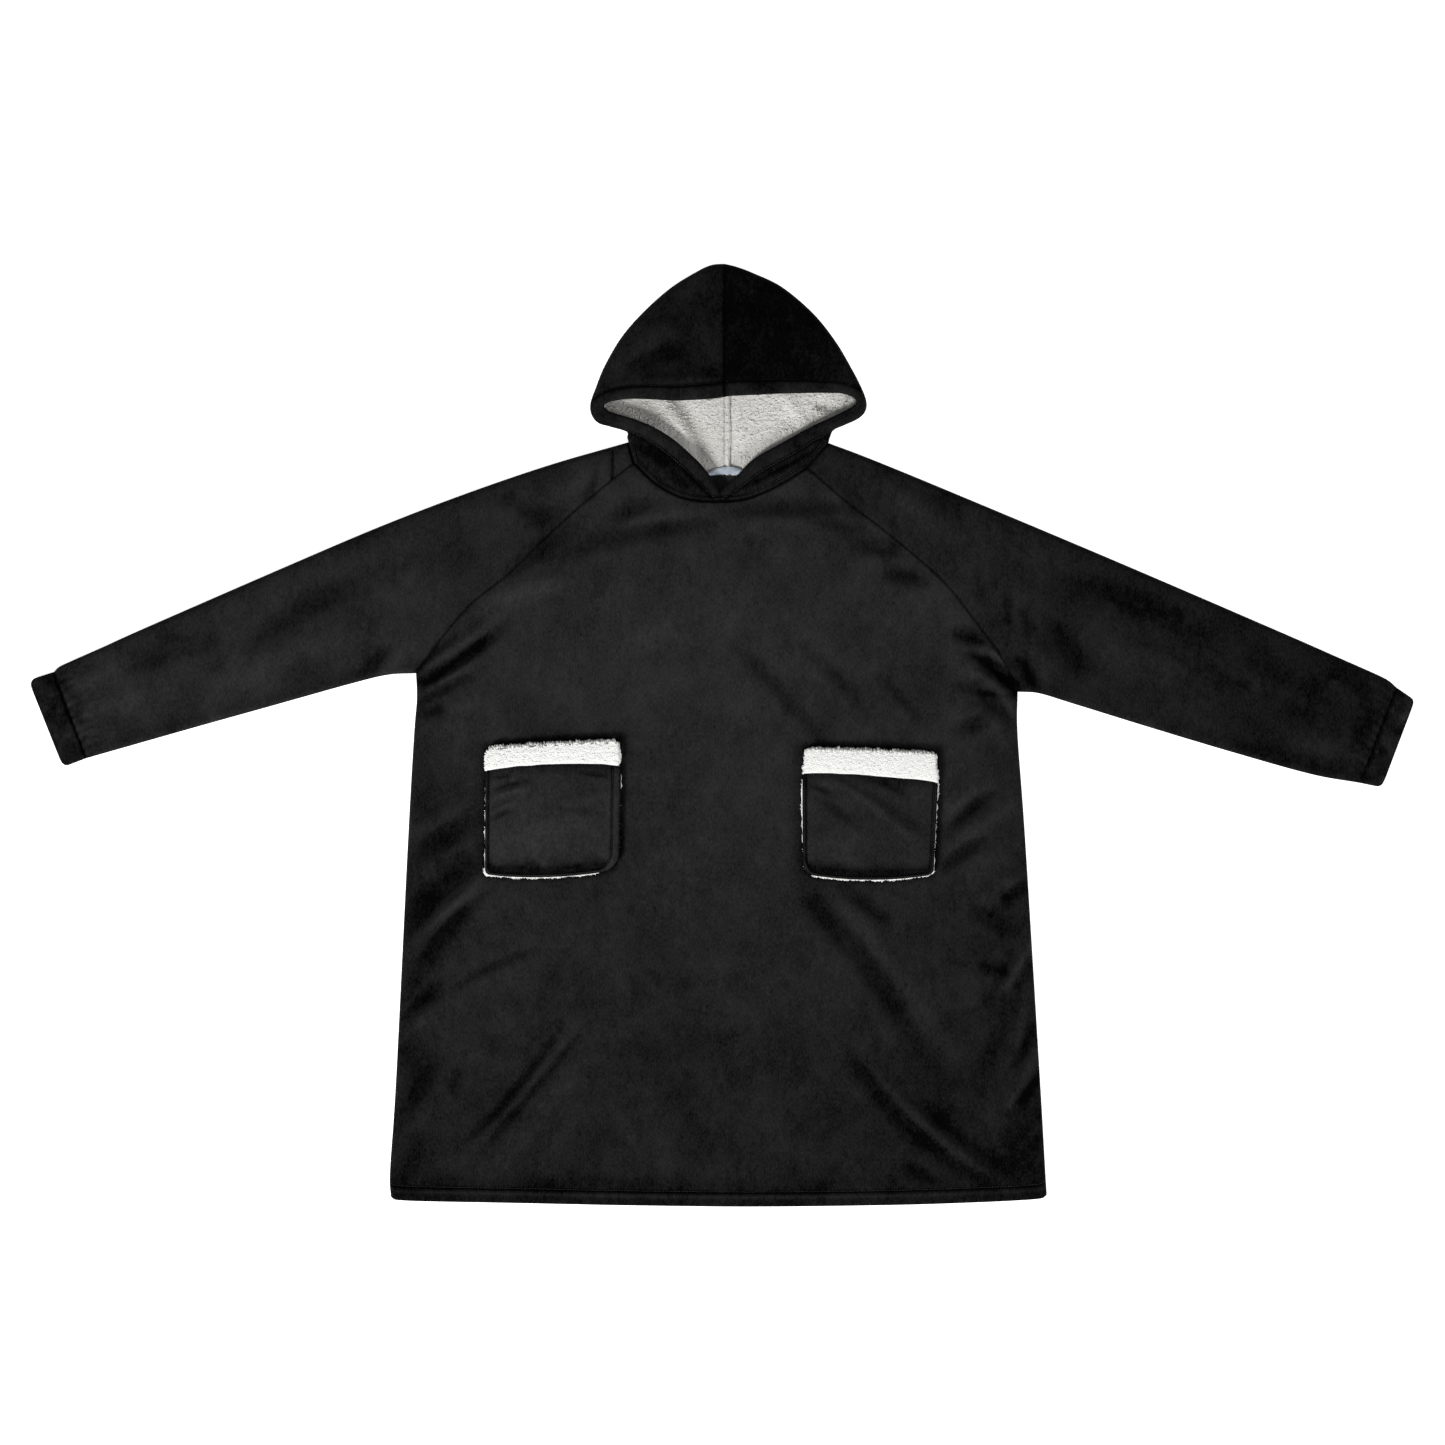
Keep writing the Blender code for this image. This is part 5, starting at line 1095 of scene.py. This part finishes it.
def hood_height(plan, from_edge, length):
    """Upper side of the hood's front layer: the mouth's lift, its turned edge, folds and seams."""
    up = plan[..., 1] - MOUTH_LINE
    across = np.maximum(1.0 - (plan[..., 0] / MOUTH_HALF) ** 2, 0.0)
    share = np.clip(-up / MOUTH_DROP, 0.0, 1.0)
    crown = MOUTH_LIFT * across * near(up, MOUTH_DEPTH)
    fronts = MOUTH_LIFT * across * (1.0 - share) + FRONT_LIFT * share
    lift = np.where(up > 0.0, crown, fronts)
    sideways = ease((np.abs(plan[..., 0]) - MOUTH_CORNER) / (4 * CM))
    corner = np.maximum(sideways, ease((-up - 1 * CM) / (1.5 * CM)))
    lift = np.minimum(lift, CORNER_LIFT + (MOUTH_LIFT - CORNER_LIFT) * (1.0 - corner))
    short = np.minimum(length / SHORT_SECTION, 1.0)
    hem = turned_edge(from_edge, HOOD_HEM) * short
    wave = waves(plan, HOOD_HEM_WAVE) * near(from_edge - HOOD_HEM, 10 * MM)
    folds = fold_height(plan, HOOD_FOLDS) * ease((from_edge - 6 * MM) / (20 * MM)) + waves(plan, UNEVENNESS)
    neck = distance_to(plan, front_neck_line)
    seams = seam(neck) + np.where(up > 0.0, seam(plan[..., 0] - HOOD_PEAK.x * CM), 0.0)
    beside = groove(neck - NECK_STITCH, *NECK_STITCHES) + groove(neck - NECK_STITCH / 2, *NECK_RIDGE)
    seams = seams + ease((-up - 3 * CM) / (2 * CM)) * beside
    return HOOD_TOP + lift + hem + wave * short + folds + seams


def hood_lines(rows, numbers):
    """Points on the mouth's edge, on the outline and up the back seam, at these numbers of the sections."""
    edge, rim = [row[:2] for row in rows], [row[2:4] for row in rows]
    back = [(HOOD_PEAK.x, row.back_y) for row in rows]
    return [Line(points).knot(numbers) for points in (edge, rim, back)]


def hood_ways(rim, numbers, side, edge=None):
    """Plan directions that lead in from the outline: square to it, straight down at the peak and, where the
    mouth's edge is given, along the last section at the neck."""
    inward = square_to(rim, -side)
    at_peak = ease(1.0 - numbers / 0.8)[:, None]
    inward = inward * (1.0 - at_peak) + np.array([0.0, -1.0]) * at_peak
    if edge is not None:
        at_neck = ease(numbers - numbers[-1] + 1.0)[:, None]
        inward = inward * (1.0 - at_neck) + towards(rim, edge) * at_neck
    return inward / np.hypot(inward[:, 0], inward[:, 1])[:, None]


def to_back_neck(plan, numbers, side):
    """Draws the last sections of a hood half, away from their fold, down to the seam at the back neck."""
    neck, neck_side = (back_neck_left, NECK_SIDE_LEFT) if side < 0 else (back_neck_right, NECK_SIDE_RIGHT)
    path = np.vstack([neck.points, plan_of([neck_side])])
    seam_y = np.interp(side * plan[..., 0], side * path[:, 0], path[:, 1])
    inside = ease(np.hypot(*np.moveaxis(plan - plan[:, :1], -1, 0)) / ROLL)
    share = ease(1.0 - (numbers[-1] - numbers) / 2.0)[:, None] * inside
    plan[..., 1] += (seam_y - plan[..., 1]) * share


def neck_row(neck_side, neck, shares, side, past=0.0):
    """Points down the neck's side and along a neck seam to the middle, and a little past it."""
    path = np.vstack([plan_of([neck_side]), neck.points])
    marks = marks_of(path)
    wanted = shares * (marks[-1] + past)
    line = read_path(path, marks, wanted)
    line[np.abs(wanted - marks[1]).argmin()] = path[1]
    line[:, 0] -= side * np.maximum(wanted - marks[-1], 0.0)
    return line


def hood_layer(plan, start, end, rim, fold, level, side):
    """Part of a hood half's front layer, as a sheet, with its stitches added to the sewing."""
    length = lengths_of(start, end)[:, None]
    from_edge = np.hypot(*np.moveaxis(plan - start[:, None, :], -1, 0))
    height = hood_height(plan, from_edge, length)
    if side < 0:
        from_middle = distance_to(plan, plan_of([NECK_FRONT, (-0.4, 30.4)]))
        height = height + OVERLAP_LIFT * ease(1.0 - from_middle / (16 * MM))
    outer, inner = round_free_edge(upper_layer(plan, height, distance_to(plan, rim), fold), from_edge)
    sewing.append(run_at(outer, from_edge, HOOD_HEM))
    over_hem = from_edge - HOOD_HEM
    # Painted shade of the crown, with a painted highlight on the turned hem's puff and on the ridge beside
    # the neck stitches, and painted shade in the grooves of the hem, seams and stitches and past the hem of
    # the fronts
    shade = nap_and_painted_shade(plan, level, HOOD_FOLDS)
    hem_painted_light = np.maximum(shade, HOOD_HEM_PAINTED_LIGHT * (0.7 + waves(plan, HOOD_HEM_CLOUDS)))
    shade = shade + (hem_painted_light - shade) * (1.0 - ease((over_hem + 2 * MM) / (3 * MM)))
    neck = distance_to(plan, front_neck_line)
    shade = shade + 0.45 * level * near(neck - NECK_STITCH / 2, 2 * MM)
    centre = painted_shade_factor(plan[..., 0] - HOOD_PEAK.x * CM, *DARK_AT_CROWN_SEAM)
    shade = shade * painted_shade_factor(over_hem, *DARK_AT_HOOD_HEM) * np.where(plan[..., 1] > MOUTH_LINE, centre, 1.0)
    shade = shade * painted_shade_factor(neck, *DARK_AT_HOOD_NECK) * painted_shade_factor(neck - NECK_STITCH, *DARK_AT_NECK_STITCH)
    if fold is None:
        shade = shade * painted_shade_factor(over_hem - 3 * MM, *DARK_PAST_HOOD_HEM)
        sewing.append(run_at(outer[:, ::-1], (length - from_edge)[:, ::-1], NECK_STITCH))
    return outer, inner, shade, ease(over_hem / (2 * MM))


def hood_half(node, rows, front_edge, front_neck, neck_side, side, levels):
    """A hood half: its front layer from the mouth's edge to the outline, folded over to its back layer."""
    numbers = np.linspace(0.0, len(rows) - 1.0, (len(rows) - 1) * 8 + 1)
    edge, rim, ends = hood_lines(rows, numbers)
    way = hood_ways(rim, numbers, side, edge)
    knees = rim + way * ROLL
    first = along(edge, knees, spread(lengths_of(edge, knees), AT_HOOD_HEM, 44, AT_END))
    over = knees[:, None, :] - way[:, None, :] * (ROLL - AT_ROLL[-2::-1])[None, :, None]
    crown = np.concatenate([first, over], axis=1)
    steps = np.linspace(0.0, len(front_edge) - 1.0, (len(front_edge) - 1) * 9 + 1)[1:]
    shares = np.interp(steps, np.arange(len(FRONT_SHARES)), FRONT_SHARES)
    low_edge = Line(front_edge).knot(steps)
    low_end = neck_row(neck_side, front_neck, shares, side, FRONT_OVERLAP if side < 0 else 0.0)
    fronts = along(low_edge, low_end, spread(lengths_of(low_edge, low_end), AT_HOOD_HEM, 44, AT_ROLL))
    layers = [hood_layer(crown, edge, rim, rim, way[:, None, :], levels[0], side),
              hood_layer(fronts, low_edge, low_end, rim, None, levels[1], side)]
    front = tuple(np.concatenate(parts, axis=0) for parts in zip(*layers))

    knees, ends, way = knees[:-1], ends[:-1], way[:-1, None, :]
    over = rim[:-1, None, :] + way * AT_ROLL[None, :-1, None]
    inner = along(knees, ends, spread(lengths_of(knees, ends), AT_END, 22, AT_END))
    back_plan = np.concatenate([over, inner], axis=1)
    to_back_neck(back_plan, numbers[:-1], side)
    back = lower_layer(back_plan, distance_to(back_plan, rim), way, FLANNEL)
    for mine, folded in zip(back, front):
        mine[:, 0] = folded[:len(mine), -1]
    sheets = [front, sheet(*back, levels[0])]
    piece = wall(node + "_cloth", node, sheets, [fleece, hood_pile], "flannel")


def hood_lining(node, rows, side):
    """A lining half: sherpa on the hood's back layer, from just inside its fold to the back neck."""
    last = len(rows) - 1.0
    numbers = np.concatenate([np.linspace(0.0, 6.0, 19)[:-1], np.linspace(6.0, last, 110)])[:-1]
    _, rim, ends = hood_lines(rows, numbers)
    start = rim + hood_ways(rim, numbers, side) * (ROLL + LINING_INSET)
    distance = spread(lengths_of(start, ends), AT_LINING, 104, AT_END)
    plan = along(start, ends, distance)
    to_back_neck(plan, numbers, side)
    curls = pile(plan, 60 if side < 0 else 70)
    centre = np.abs(plan[..., 0] - HOOD_PEAK.x * CM)
    ridge = groove(centre, *LINING_SEAM)
    if side > 0:
        from_ridge = centre - RIDGE_FROM_SEAM - waves(plan, RIDGE_WOBBLE)
        ridge = ridge + groove(from_ridge, *RIDGE) + groove(from_ridge - RIDGE_TO_STITCHES, *RIDGE_STITCHES)
    folds = fold_height(plan, LINING_FOLDS) + waves(plan, LINING_WAVES)
    top = FLANNEL + GAP + SHERPA + folds + ridge + 1.2 * MM * (curls - 0.6)
    pair = (solid_points(plan, top), solid_points(plan, FLANNEL + GAP))
    # Painted shade deep between the curls and in the fold shadows, and painted light on the ridges of folds
    # and seams
    lining_painted_shade = 1.0 + sum(mark.shade * near(from_mark(plan, mark), 1.0) for mark in LINING_PAINTED_SHADE_MARKS)
    shade = (0.45 + 0.55 * curls) * lining_painted_shade * (1.0 + 0.3 * np.tanh((folds + ridge) / (1.4 * MM)))
    lining = sheet(*round_free_edge(pair, distance), shade)
    piece = wall(node + "_pile", node, [lining], [hood_pile], "sherpa")
    seen = pair[0].reshape(-1, 3)
    by_label = np.abs(seen[:, :2] - (0.7 * CM, 33.2 * CM)) < (2.6 * CM, 1.0 * CM)
    seen = seen[(np.abs(seen[:, 0]) < 16 * CM) & (seen[:, 1] < 43 * CM) & ~by_label.all(axis=1)]
    return curls_at(picked(seen, 900, 80 + side, 0.8 * MM), 1.1 * MM, 90 + side)


def rounded(from_left, from_right, corners):
    """How far an edge is drawn in at these ways from its two ends, to round corners of these sizes."""
    drawn = np.zeros_like(from_left)
    for way, radius in zip((from_left, from_right), np.array(corners) * CM):
        short = np.clip(1.0 - way / radius, 0.0, 1.0)
        drawn = drawn + radius * (1.0 - np.sqrt(1.0 - short ** 2))
    return drawn


def lower_edge(table, columns):
    """A patch's lower edge in plan, with its sag and round corners."""
    low_left, low_right = plan_of(table["patch"])[:2]
    across = columns[:, None]
    low = low_left + (low_right - low_left) * across
    width = np.hypot(*(low_right - low_left))
    low[:, 1] -= table["sag"] * CM * np.sin(pi * columns) ** POCKET_ROUNDING
    low[:, 1] += rounded(columns * width, (1.0 - columns) * width, table["corners"])
    return low


def upper_edge(table, columns):
    """A patch's upper edge in plan."""
    high_right, high_left = plan_of(table["patch"])[2:]
    high = high_left + (high_right - high_left) * columns[:, None]
    high[:, 1] += table["arch"] * CM * np.sqrt(np.sin(pi * np.clip(columns, 0.0, 1.0)))
    high[:, 1] += 0.5 * MM * soft_noise(high * (1.0, 0.0), 1.5 * CM, table["seed"] + 60)
    return high


def ruled(starts, ends, shares):
    """Plan points at shares of the way from each start to its end."""
    return starts[:, None, :] + (ends - starts)[:, None, :] * shares[None, :, None]


def side_shares(length, first, between, last):
    """Shares along one section, spread in the same way."""
    return spread([length], first, between, last)[0] / length


def inside_stitches(table, from_left, from_right, from_low):
    """How far inside the line of stitches each point of a patch lies, below 0 outside it."""
    left, low, right = np.array(table["stitches"]) * MM
    side = np.minimum(from_left - left, from_right - right)
    above = from_low - low
    radius = np.where(from_left < from_right, *table["turns"]) * MM
    turn = radius - np.hypot(radius - side, radius - above)
    return np.where((side < radius) & (above < radius), turn, np.minimum(side, above))


def stitch_path(table, width, height):
    """The line of stitches, down a patch's left side, round its corners and up its right side."""
    left, low, right = np.array(table["stitches"]) * MM
    first, last = np.array(table["turns"]) * MM
    quarter = np.linspace(0.0, pi / 2, 9)
    cos, sin = 1 - np.cos(quarter), 1 - np.sin(quarter)
    turn = [np.stack([left + first * cos, low + first * sin], axis=-1),
            np.stack([width - right - last * sin, low + last * cos], axis=-1)]
    path = np.vstack([[(left, 0.985 * height)], *turn, [(width - right, 0.985 * height)]])
    marks = marks_of(path)
    return read_path(path, marks, np.arange(0.0, marks[-1], 1.5 * MM))


def read_sheet(points, columns, rows, path):
    """Points of a sheet at plan distances across and up it."""
    i = np.interp(path[:, 0], columns, np.arange(len(columns)))
    j = np.interp(path[:, 1], rows, np.arange(len(rows)))
    column, row = np.minimum(i.astype(int), len(columns) - 2), np.minimum(j.astype(int), len(rows) - 2)
    i, j = (i - column)[:, None], (j - row)[:, None]
    low = points[column, row] * (1 - i) + points[column + 1, row] * i
    high = points[column, row + 1] * (1 - i) + points[column + 1, row + 1] * i
    return low * (1 - j) + high * j


def pocket(node, table):
    """A black patch pocket over its lining, stitched down at its sides and bottom."""
    corners = plan_of(table["patch"])
    width, height = np.hypot(*(corners[1] - corners[0])), np.hypot(*(corners[3] - corners[0]))
    columns = side_shares(width, AT_PATCH, 84, AT_PATCH)
    rows = side_shares(height, AT_PATCH, 66, AT_PATCH[:5])
    plan = ruled(lower_edge(table, columns), upper_edge(table, columns), rows)
    across, up = np.meshgrid(columns, rows, indexing="ij")
    sides = np.minimum(across, 1.0 - across) * width
    edge = np.minimum(sides, up * height)
    inside = inside_stitches(table, across * width, (1.0 - across) * width, up * height)
    crown = POCKET_CROWN * np.sqrt(np.sin(pi * np.clip(across, 0, 1)) * np.sin(pi * np.minimum(up, 0.9)))
    puff = 1.4 * MM * np.sin(pi * np.clip(edge / np.maximum(edge - inside, 0.1 * MM), 0.0, 1.0)) ** 0.8
    wave = 0.5 * MM * soft_noise(plan, 1.8 * CM, table["seed"]) + waves(plan, PATCH_WAVES)
    folds = fold_height(plan, POCKET_FOLDS) + groove(inside, *PATCH_STITCHES)
    under = FRONT_TOP + GAP + POCKET_SHERPA + GAP
    outer = solid_points(plan, under + POCKET_PATCH + crown + puff + wave + folds)
    pair = round_free_edge((outer, solid_points(plan, under)), np.minimum(edge, (1.0 - up) * height))
    uneven = 1.0 + 0.5 * soft_noise(plan, 1.4 * CM, table["seed"] + 50)
    # Painted shade of the patch: in its folds, above the bottom stitches where it sags, at its stitches and
    # edges, and just under the band
    low_shadow = painted_shade_factor(np.maximum(up * height - 9 * MM, 0.0), 7 * MM * uneven, 0.86)
    shade = nap_and_painted_shade(plan, table["level"], POCKET_FOLDS) * painted_shade_factor(inside, *DARK_AT_PATCH_STITCH)
    shade = shade * painted_shade_factor(edge, *DARK_AT_PATCH_EDGE) * np.where(inside > 0.0, low_shadow, 1.0)
    shade = shade * painted_shade_factor((1.0 - up) * height - 3 * MM, (4 + 3 * uneven) * MM, 0.42)
    piece = wall(node + "_cloth", node, [sheet(*pair, shade)], [fleece], "flannel")
    sewing.append(read_sheet(pair[0], columns * width, rows * height, stitch_path(table, width, height)))


def pocket_lining(node, table):
    """Sherpa under a patch, a little wider than it, and turned over its top as a fluffy band."""
    low_left, low_right, _, patch_left = plan_of(table["patch"])
    band_left, band_right = plan_of(table["band"])
    height = np.hypot(*(patch_left - low_left))
    band = np.hypot(*(band_left - patch_left))
    width = np.hypot(*(low_right - low_left))
    columns = side_shares(width, AT_BAND, 120, AT_BAND)
    clear = 1.5 * GAP
    levels = side_shares(height, AT_BAND, 16, AT_END) * (1.0 + clear / height)
    over = np.concatenate([(AT_FOOT + 2.0 * clear) / band, np.linspace(0.17, 0.86, 24),
                           1.0 - AT_BAND[::-1] / band])
    across = columns[:, None]
    low, top = lower_edge(table, columns), upper_edge(table, columns)
    crest = band_left + (band_right - band_left) * across
    crest[:, 1] += BAND_CREST * np.sin(pi * columns) ** 0.5
    crest[:, 1] -= rounded(columns * width, (1.0 - columns) * width, table["band_corners"])
    plan = np.concatenate([ruled(low, top, levels), ruled(top, crest, over)], axis=1)
    under = len(levels)
    peek = sum(mark.shade * MM * np.exp(-from_mark(plan, mark) ** 4) for mark in table["peeks"])
    peek = peek - TUCK + 0.55 * MM * soft_noise(plan, 6 * MM, table["seed"] + 30)
    out = ((columns - 0.5) * 2.0)[:, None]
    (left_foot, left_middle), (right_foot, right_middle) = np.array(table["band_sides"]) * MM
    foot, middle = np.where(out < 0, left_foot, right_foot), np.where(out < 0, left_middle, right_middle)
    peek[:, under:] = BAND_WIDER + foot * (1.0 - over) ** 3 + middle * np.sin(pi * over)
    plan[..., 0] += np.sign(out) * np.abs(out) ** 9 * peek
    plan[:, :under, 1] -= (1.0 - levels) ** 9 * peek[:, :under]
    seed = table["seed"] * 10
    ragged = 1.0 * MM * drift(plan, 4 * MM, seed)
    curls = pile(plan, seed + 2)
    from_ends = np.concatenate([levels * height, (1.0 - over) * band])
    edge = np.minimum(np.minimum(across, 1.0 - across) * width, from_ends)
    plan = plan + ragged * (1.0 - ease(edge / (5 * MM)))[..., None]
    rise = np.concatenate([np.zeros_like(levels), np.ones_like(over)])
    puff = np.concatenate([np.zeros_like(levels), np.sin(pi * over) ** 0.3])
    high = FRONT_TOP + GAP + POCKET_SHERPA + rise * (GAP + POCKET_PATCH + BAND_OVER) + HEM_PUFF * puff
    high = high + (0.5 + 0.35 * rise) * MM * (curls - 0.5)
    pair = round_free_edge((solid_points(plan, high), solid_points(plan, FRONT_TOP + GAP)), edge)
    # Painted shade deep between the curls, more of it on the lining that peeks from under the patch than on
    # the band
    nap_shading = (0.3 + 0.7 * curls) * (1.0 - rise) + (0.62 + 0.38 * curls) * rise
    piece = wall(node + "_pile", node, [sheet(*pair, nap_shading)], [pocket_pile], "sherpa")
    hidden, turned = pair[0][:, :under], pair[0][:, under:]
    fringe = turned[:, -4:-1] + (0.0, 0.0, 0.2 * MM)
    sides = np.concatenate([turned[:2, 6:], turned[-2:, 6:]])
    borders = np.vstack([part.reshape(-1, 3) for part in (hidden[2:-2, :2], hidden[:2], hidden[-2:])])
    return (curls_at(picked(turned[:, 4:], 260, seed + 4, 0.8 * MM), 0.9 * MM, seed + 5)
            + tufts_at(picked(fringe, 260, seed + 6, 0.7 * MM), 2.9 * MM, seed + 7)
            + curls_at(picked(sides, 70, seed + 8, 0.6 * MM), 1.0 * MM, seed + 9)
            + curls_at(picked(borders, 300, seed + 10, 0.7 * MM), 0.75 * MM, seed + 11))


def neck_label():
    """The small bare label, bent into a low crescent on the lining at the back neck."""
    base = FLANNEL + GAP + SHERPA + GAP + 0.9 * MM
    across, up = np.meshgrid(np.linspace(0, 1, 41), np.linspace(0, 1, 17), indexing="ij")
    x = LABEL_LEFT + LABEL_WIDTH * across
    bend = np.sin(pi * (0.1 + 0.7 * across))
    y = LABEL_LOW + LABEL_BOW * np.sin(pi * across) + 0.95 * LABEL_HEIGHT * up * bend
    rise = 0.9 * MM * np.sin(pi * up) + 0.5 * MM * np.sin(3.2 * pi * across + 0.6) * up
    plan = np.stack([x, y], axis=-1)
    pair = (solid_points(plan, base + LABEL_THICK + rise), solid_points(plan, base + 0.6 * rise))
    piece = wall("neck_label_ribbon", "neck_label", [sheet(*pair)], [ribbon], "label")


def run_at(points, distances, wanted):
    """The line over a sheet's columns at one distance from their starts, where they are long enough."""
    return np.array([read_path(column, way, wanted) for column, way in zip(points, distances)
                     if way[-1] > 1.4 * wanted])


def small_ball():
    """Points and faces of a small rough ball, repeated for every stitch and curl."""
    ball = bmesh.new()
    bmesh.ops.create_icosphere(ball, subdivisions=1, radius=1.0)
    points = np.array([vert.co for vert in ball.verts])
    faces = np.array([[vert.index for vert in face.verts] for face in ball.faces])
    ball.free()
    return points, faces


def joined(name, shapes, finish):
    """One smooth piece from many balls, each drawn out along three ways and set at a place."""
    ball, faces = small_ball()
    data = bpy.data.meshes.new(name)
    points = np.vstack([ball @ ways + place for ways, place in shapes])
    corners = np.vstack([faces + number * len(ball) for number in range(len(shapes))])
    data.from_pydata(points.tolist(), [], corners.tolist())
    mesh = bmesh.new()
    mesh.from_mesh(data)
    bpy.data.meshes.remove(data)
    bmesh.ops.recalc_face_normals(mesh, faces=mesh.faces)
    nap_shading = mesh.verts.layers.float.new("nap_shading")
    for vert in mesh.verts:
        vert[nap_shading] = 0.9
    return finished(name, mesh, [finish])


def stitches_along(runs):
    """Sewing along lines of points in space, one rounded stitch to a step."""
    shapes = []
    for run in runs:
        marks = marks_of(run)
        for middle in np.arange(STITCH / 2, marks[-1], STITCH):
            start, place, end = read_path(run, marks, middle + STITCH * np.array([-0.42, 0.0, 0.42]))
            forward = (end - start) / 2
            sideways = np.array([-forward[1], forward[0], 0.0]) / max(np.hypot(*forward[:2]), 1e-9) * THREAD
            shapes.append((np.array([forward, sideways, (0.0, 0.0, THREAD)]), place))
    return shapes


def curls_at(places, size, seed):
    """Loose curls of sherpa, turned at random, that stand out of the pile and along its edges."""
    rng = np.random.default_rng(seed)
    shapes = []
    for place in places:
        turn = np.array(Matrix.Rotation(rng.uniform(0, 2 * pi), 3, Vector(rng.normal(size=3)).normalized()))
        drawn = np.diag([rng.uniform(1.1, 2.0), rng.uniform(0.5, 0.8), rng.uniform(0.45, 0.7)])
        shapes.append((drawn @ turn * size * rng.uniform(0.7, 1.2), place))
    return shapes


def tufts_at(places, reach, seed):
    """Slim tufts of sherpa that lie up the garment along the top edge of a band."""
    rng = np.random.default_rng(seed)
    shapes = []
    for place in places:
        turn = rng.uniform(-0.6, 0.6)
        slim, length = 0.6 * MM * rng.uniform(0.7, 1.4), reach * rng.uniform(0.45, 1.1)
        across = (np.cos(turn) * slim, -np.sin(turn) * slim, 0.0)
        up = (np.sin(turn) * length, np.cos(turn) * length, 0.0)
        shapes.append((np.array([across, up, (0.0, 0.0, 0.7 * MM)]), place))
    return shapes


def picked(points, count, seed, spare):
    """Some of a sheet's points, each moved up to this much at random."""
    rng = np.random.default_rng(seed)
    flat = points.reshape(-1, 3)
    places = flat[rng.integers(0, len(flat), count)]
    return places + rng.uniform(-1.0, 1.0, (count, 3)) * (spare, spare, 0.3 * spare)


def placed(name, data, place=(0.0, 0.0, 0.0)):
    """A camera, lamp or floor, which is no part of the garment."""
    made = bpy.data.objects.new(name, data)
    made.location = place
    bpy.context.scene.collection.objects.link(made)
    return made


def soft_light(name, place, size, power):
    """A large square lamp that faces the middle of the garment."""
    data = bpy.data.lights.new(name, "AREA")
    data.size = size
    data.energy = power
    lamp = placed(name, data, place)
    lamp.rotation_euler = (-Vector(place)).to_track_quat("-Z", "Y").to_euler()


garment = bpy.data.collections.new("blanket_hoodie_looks")
bpy.context.scene.collection.children.link(garment)

sewing = []
fleece = black_fleece()
pocket_pile = pocket_sherpa()
hood_pile = hood_sherpa()
ribbon = label_cloth()
thread = sewing_thread()

side_left, side_right, hem_line = Line(SIDE_LEFT), Line(SIDE_RIGHT), Line(HEM_LINE)
raglan_left, raglan_right = Line(RAGLAN_LEFT), Line(RAGLAN_RIGHT)
front_neck_left, front_neck_right = Line(FRONT_NECK_LEFT), Line(FRONT_NECK_RIGHT)
back_neck_left, back_neck_right = Line(BACK_NECK_LEFT), Line(BACK_NECK_RIGHT)
shoulder_dart = Line(SHOULDER_DART)
front_neck_line = np.vstack([plan_of([NECK_SIDE_LEFT]), front_neck_left.points, front_neck_right.points[::-1],
                             plan_of([NECK_SIDE_RIGHT])])

front_panel()
back_panel()
# Each level is a lightness that holds painted shade: the right sleeve and the right half of the crown are
# painted darker, away from the key light
sleeve("sleeve_left", Line(SLEEVE_TOP_LEFT), Line(UNDERARM_LEFT), raglan_left, TOP_AT_ARMPIT_LEFT, 0.92)
sleeve("sleeve_right", Line(SLEEVE_TOP_RIGHT), Line(UNDERARM_RIGHT), raglan_right, TOP_AT_ARMPIT_RIGHT, 0.66)
cuff("cuff_left", CUFF_LEFT, 0.38, (0.9, 0.7))
cuff("cuff_right", CUFF_RIGHT, 0.42, (0.5, 0.6))
hood_half("hood_left", HOOD_ROWS_LEFT, FRONT_EDGE_LEFT, front_neck_left, NECK_SIDE_LEFT, -1, (0.36, 0.38))
hood_half("hood_right", HOOD_ROWS_RIGHT, FRONT_EDGE_RIGHT, front_neck_right, NECK_SIDE_RIGHT, 1, (0.04, 0.44))
hood_curls = (hood_lining("hood_lining_left", HOOD_ROWS_LEFT, -1)
              + hood_lining("hood_lining_right", HOOD_ROWS_RIGHT, 1))
pocket("pocket_left", POCKET_LEFT)
pocket("pocket_right", POCKET_RIGHT)
left_curls = pocket_lining("pocket_lining_left", POCKET_LEFT)
right_curls = pocket_lining("pocket_lining_right", POCKET_RIGHT)
neck_label()

# All the small pieces
joined("sewing", stitches_along(sewing), thread)
joined("hood_curls", hood_curls, hood_pile)
joined("pocket_curls_left", left_curls, pocket_pile)
joined("pocket_curls_right", right_curls, pocket_pile)

# Camera, straight over the garment as in the photograph
camera_data = bpy.data.cameras.new("camera_over_the_garment")
camera_data.lens = LENS
high_up = MIDDLE + FRAME_PIXELS * PIXEL * LENS / camera_data.sensor_width
camera = placed("camera_over_the_garment", camera_data, (FRAME_MIDDLE.x * CM, FRAME_MIDDLE.y * CM, high_up))
bpy.context.scene.camera = camera

# Pale paper floor
paper = bmesh.new()
bmesh.ops.create_grid(paper, x_segments=1, y_segments=1, size=FLOOR_HALF)
bmesh.ops.translate(paper, verts=paper.verts, vec=(0.0, 0.0, -FLOOR_DROP))
floor_data = bpy.data.meshes.new("floor")
paper.to_mesh(floor_data)
paper.free()
floor_data.materials.append(paper_floor())
placed("floor", floor_data)

# Light
soft_light("key_light", (-2.9, -3.2, 2.9), 1.2, 300.0)
soft_light("side_light", (4.1, -1.6, 2.4), 1.2, 120.0)
world = bpy.data.worlds.new("studio")
world.use_nodes = True
world.node_tree.nodes["Background"].inputs["Color"].default_value = (1.0, 1.0, 1.0, 1.0)
world.node_tree.nodes["Background"].inputs["Strength"].default_value = WORLD_LIGHT
bpy.context.scene.world = world
bpy.context.scene.view_settings.view_transform = "Standard"
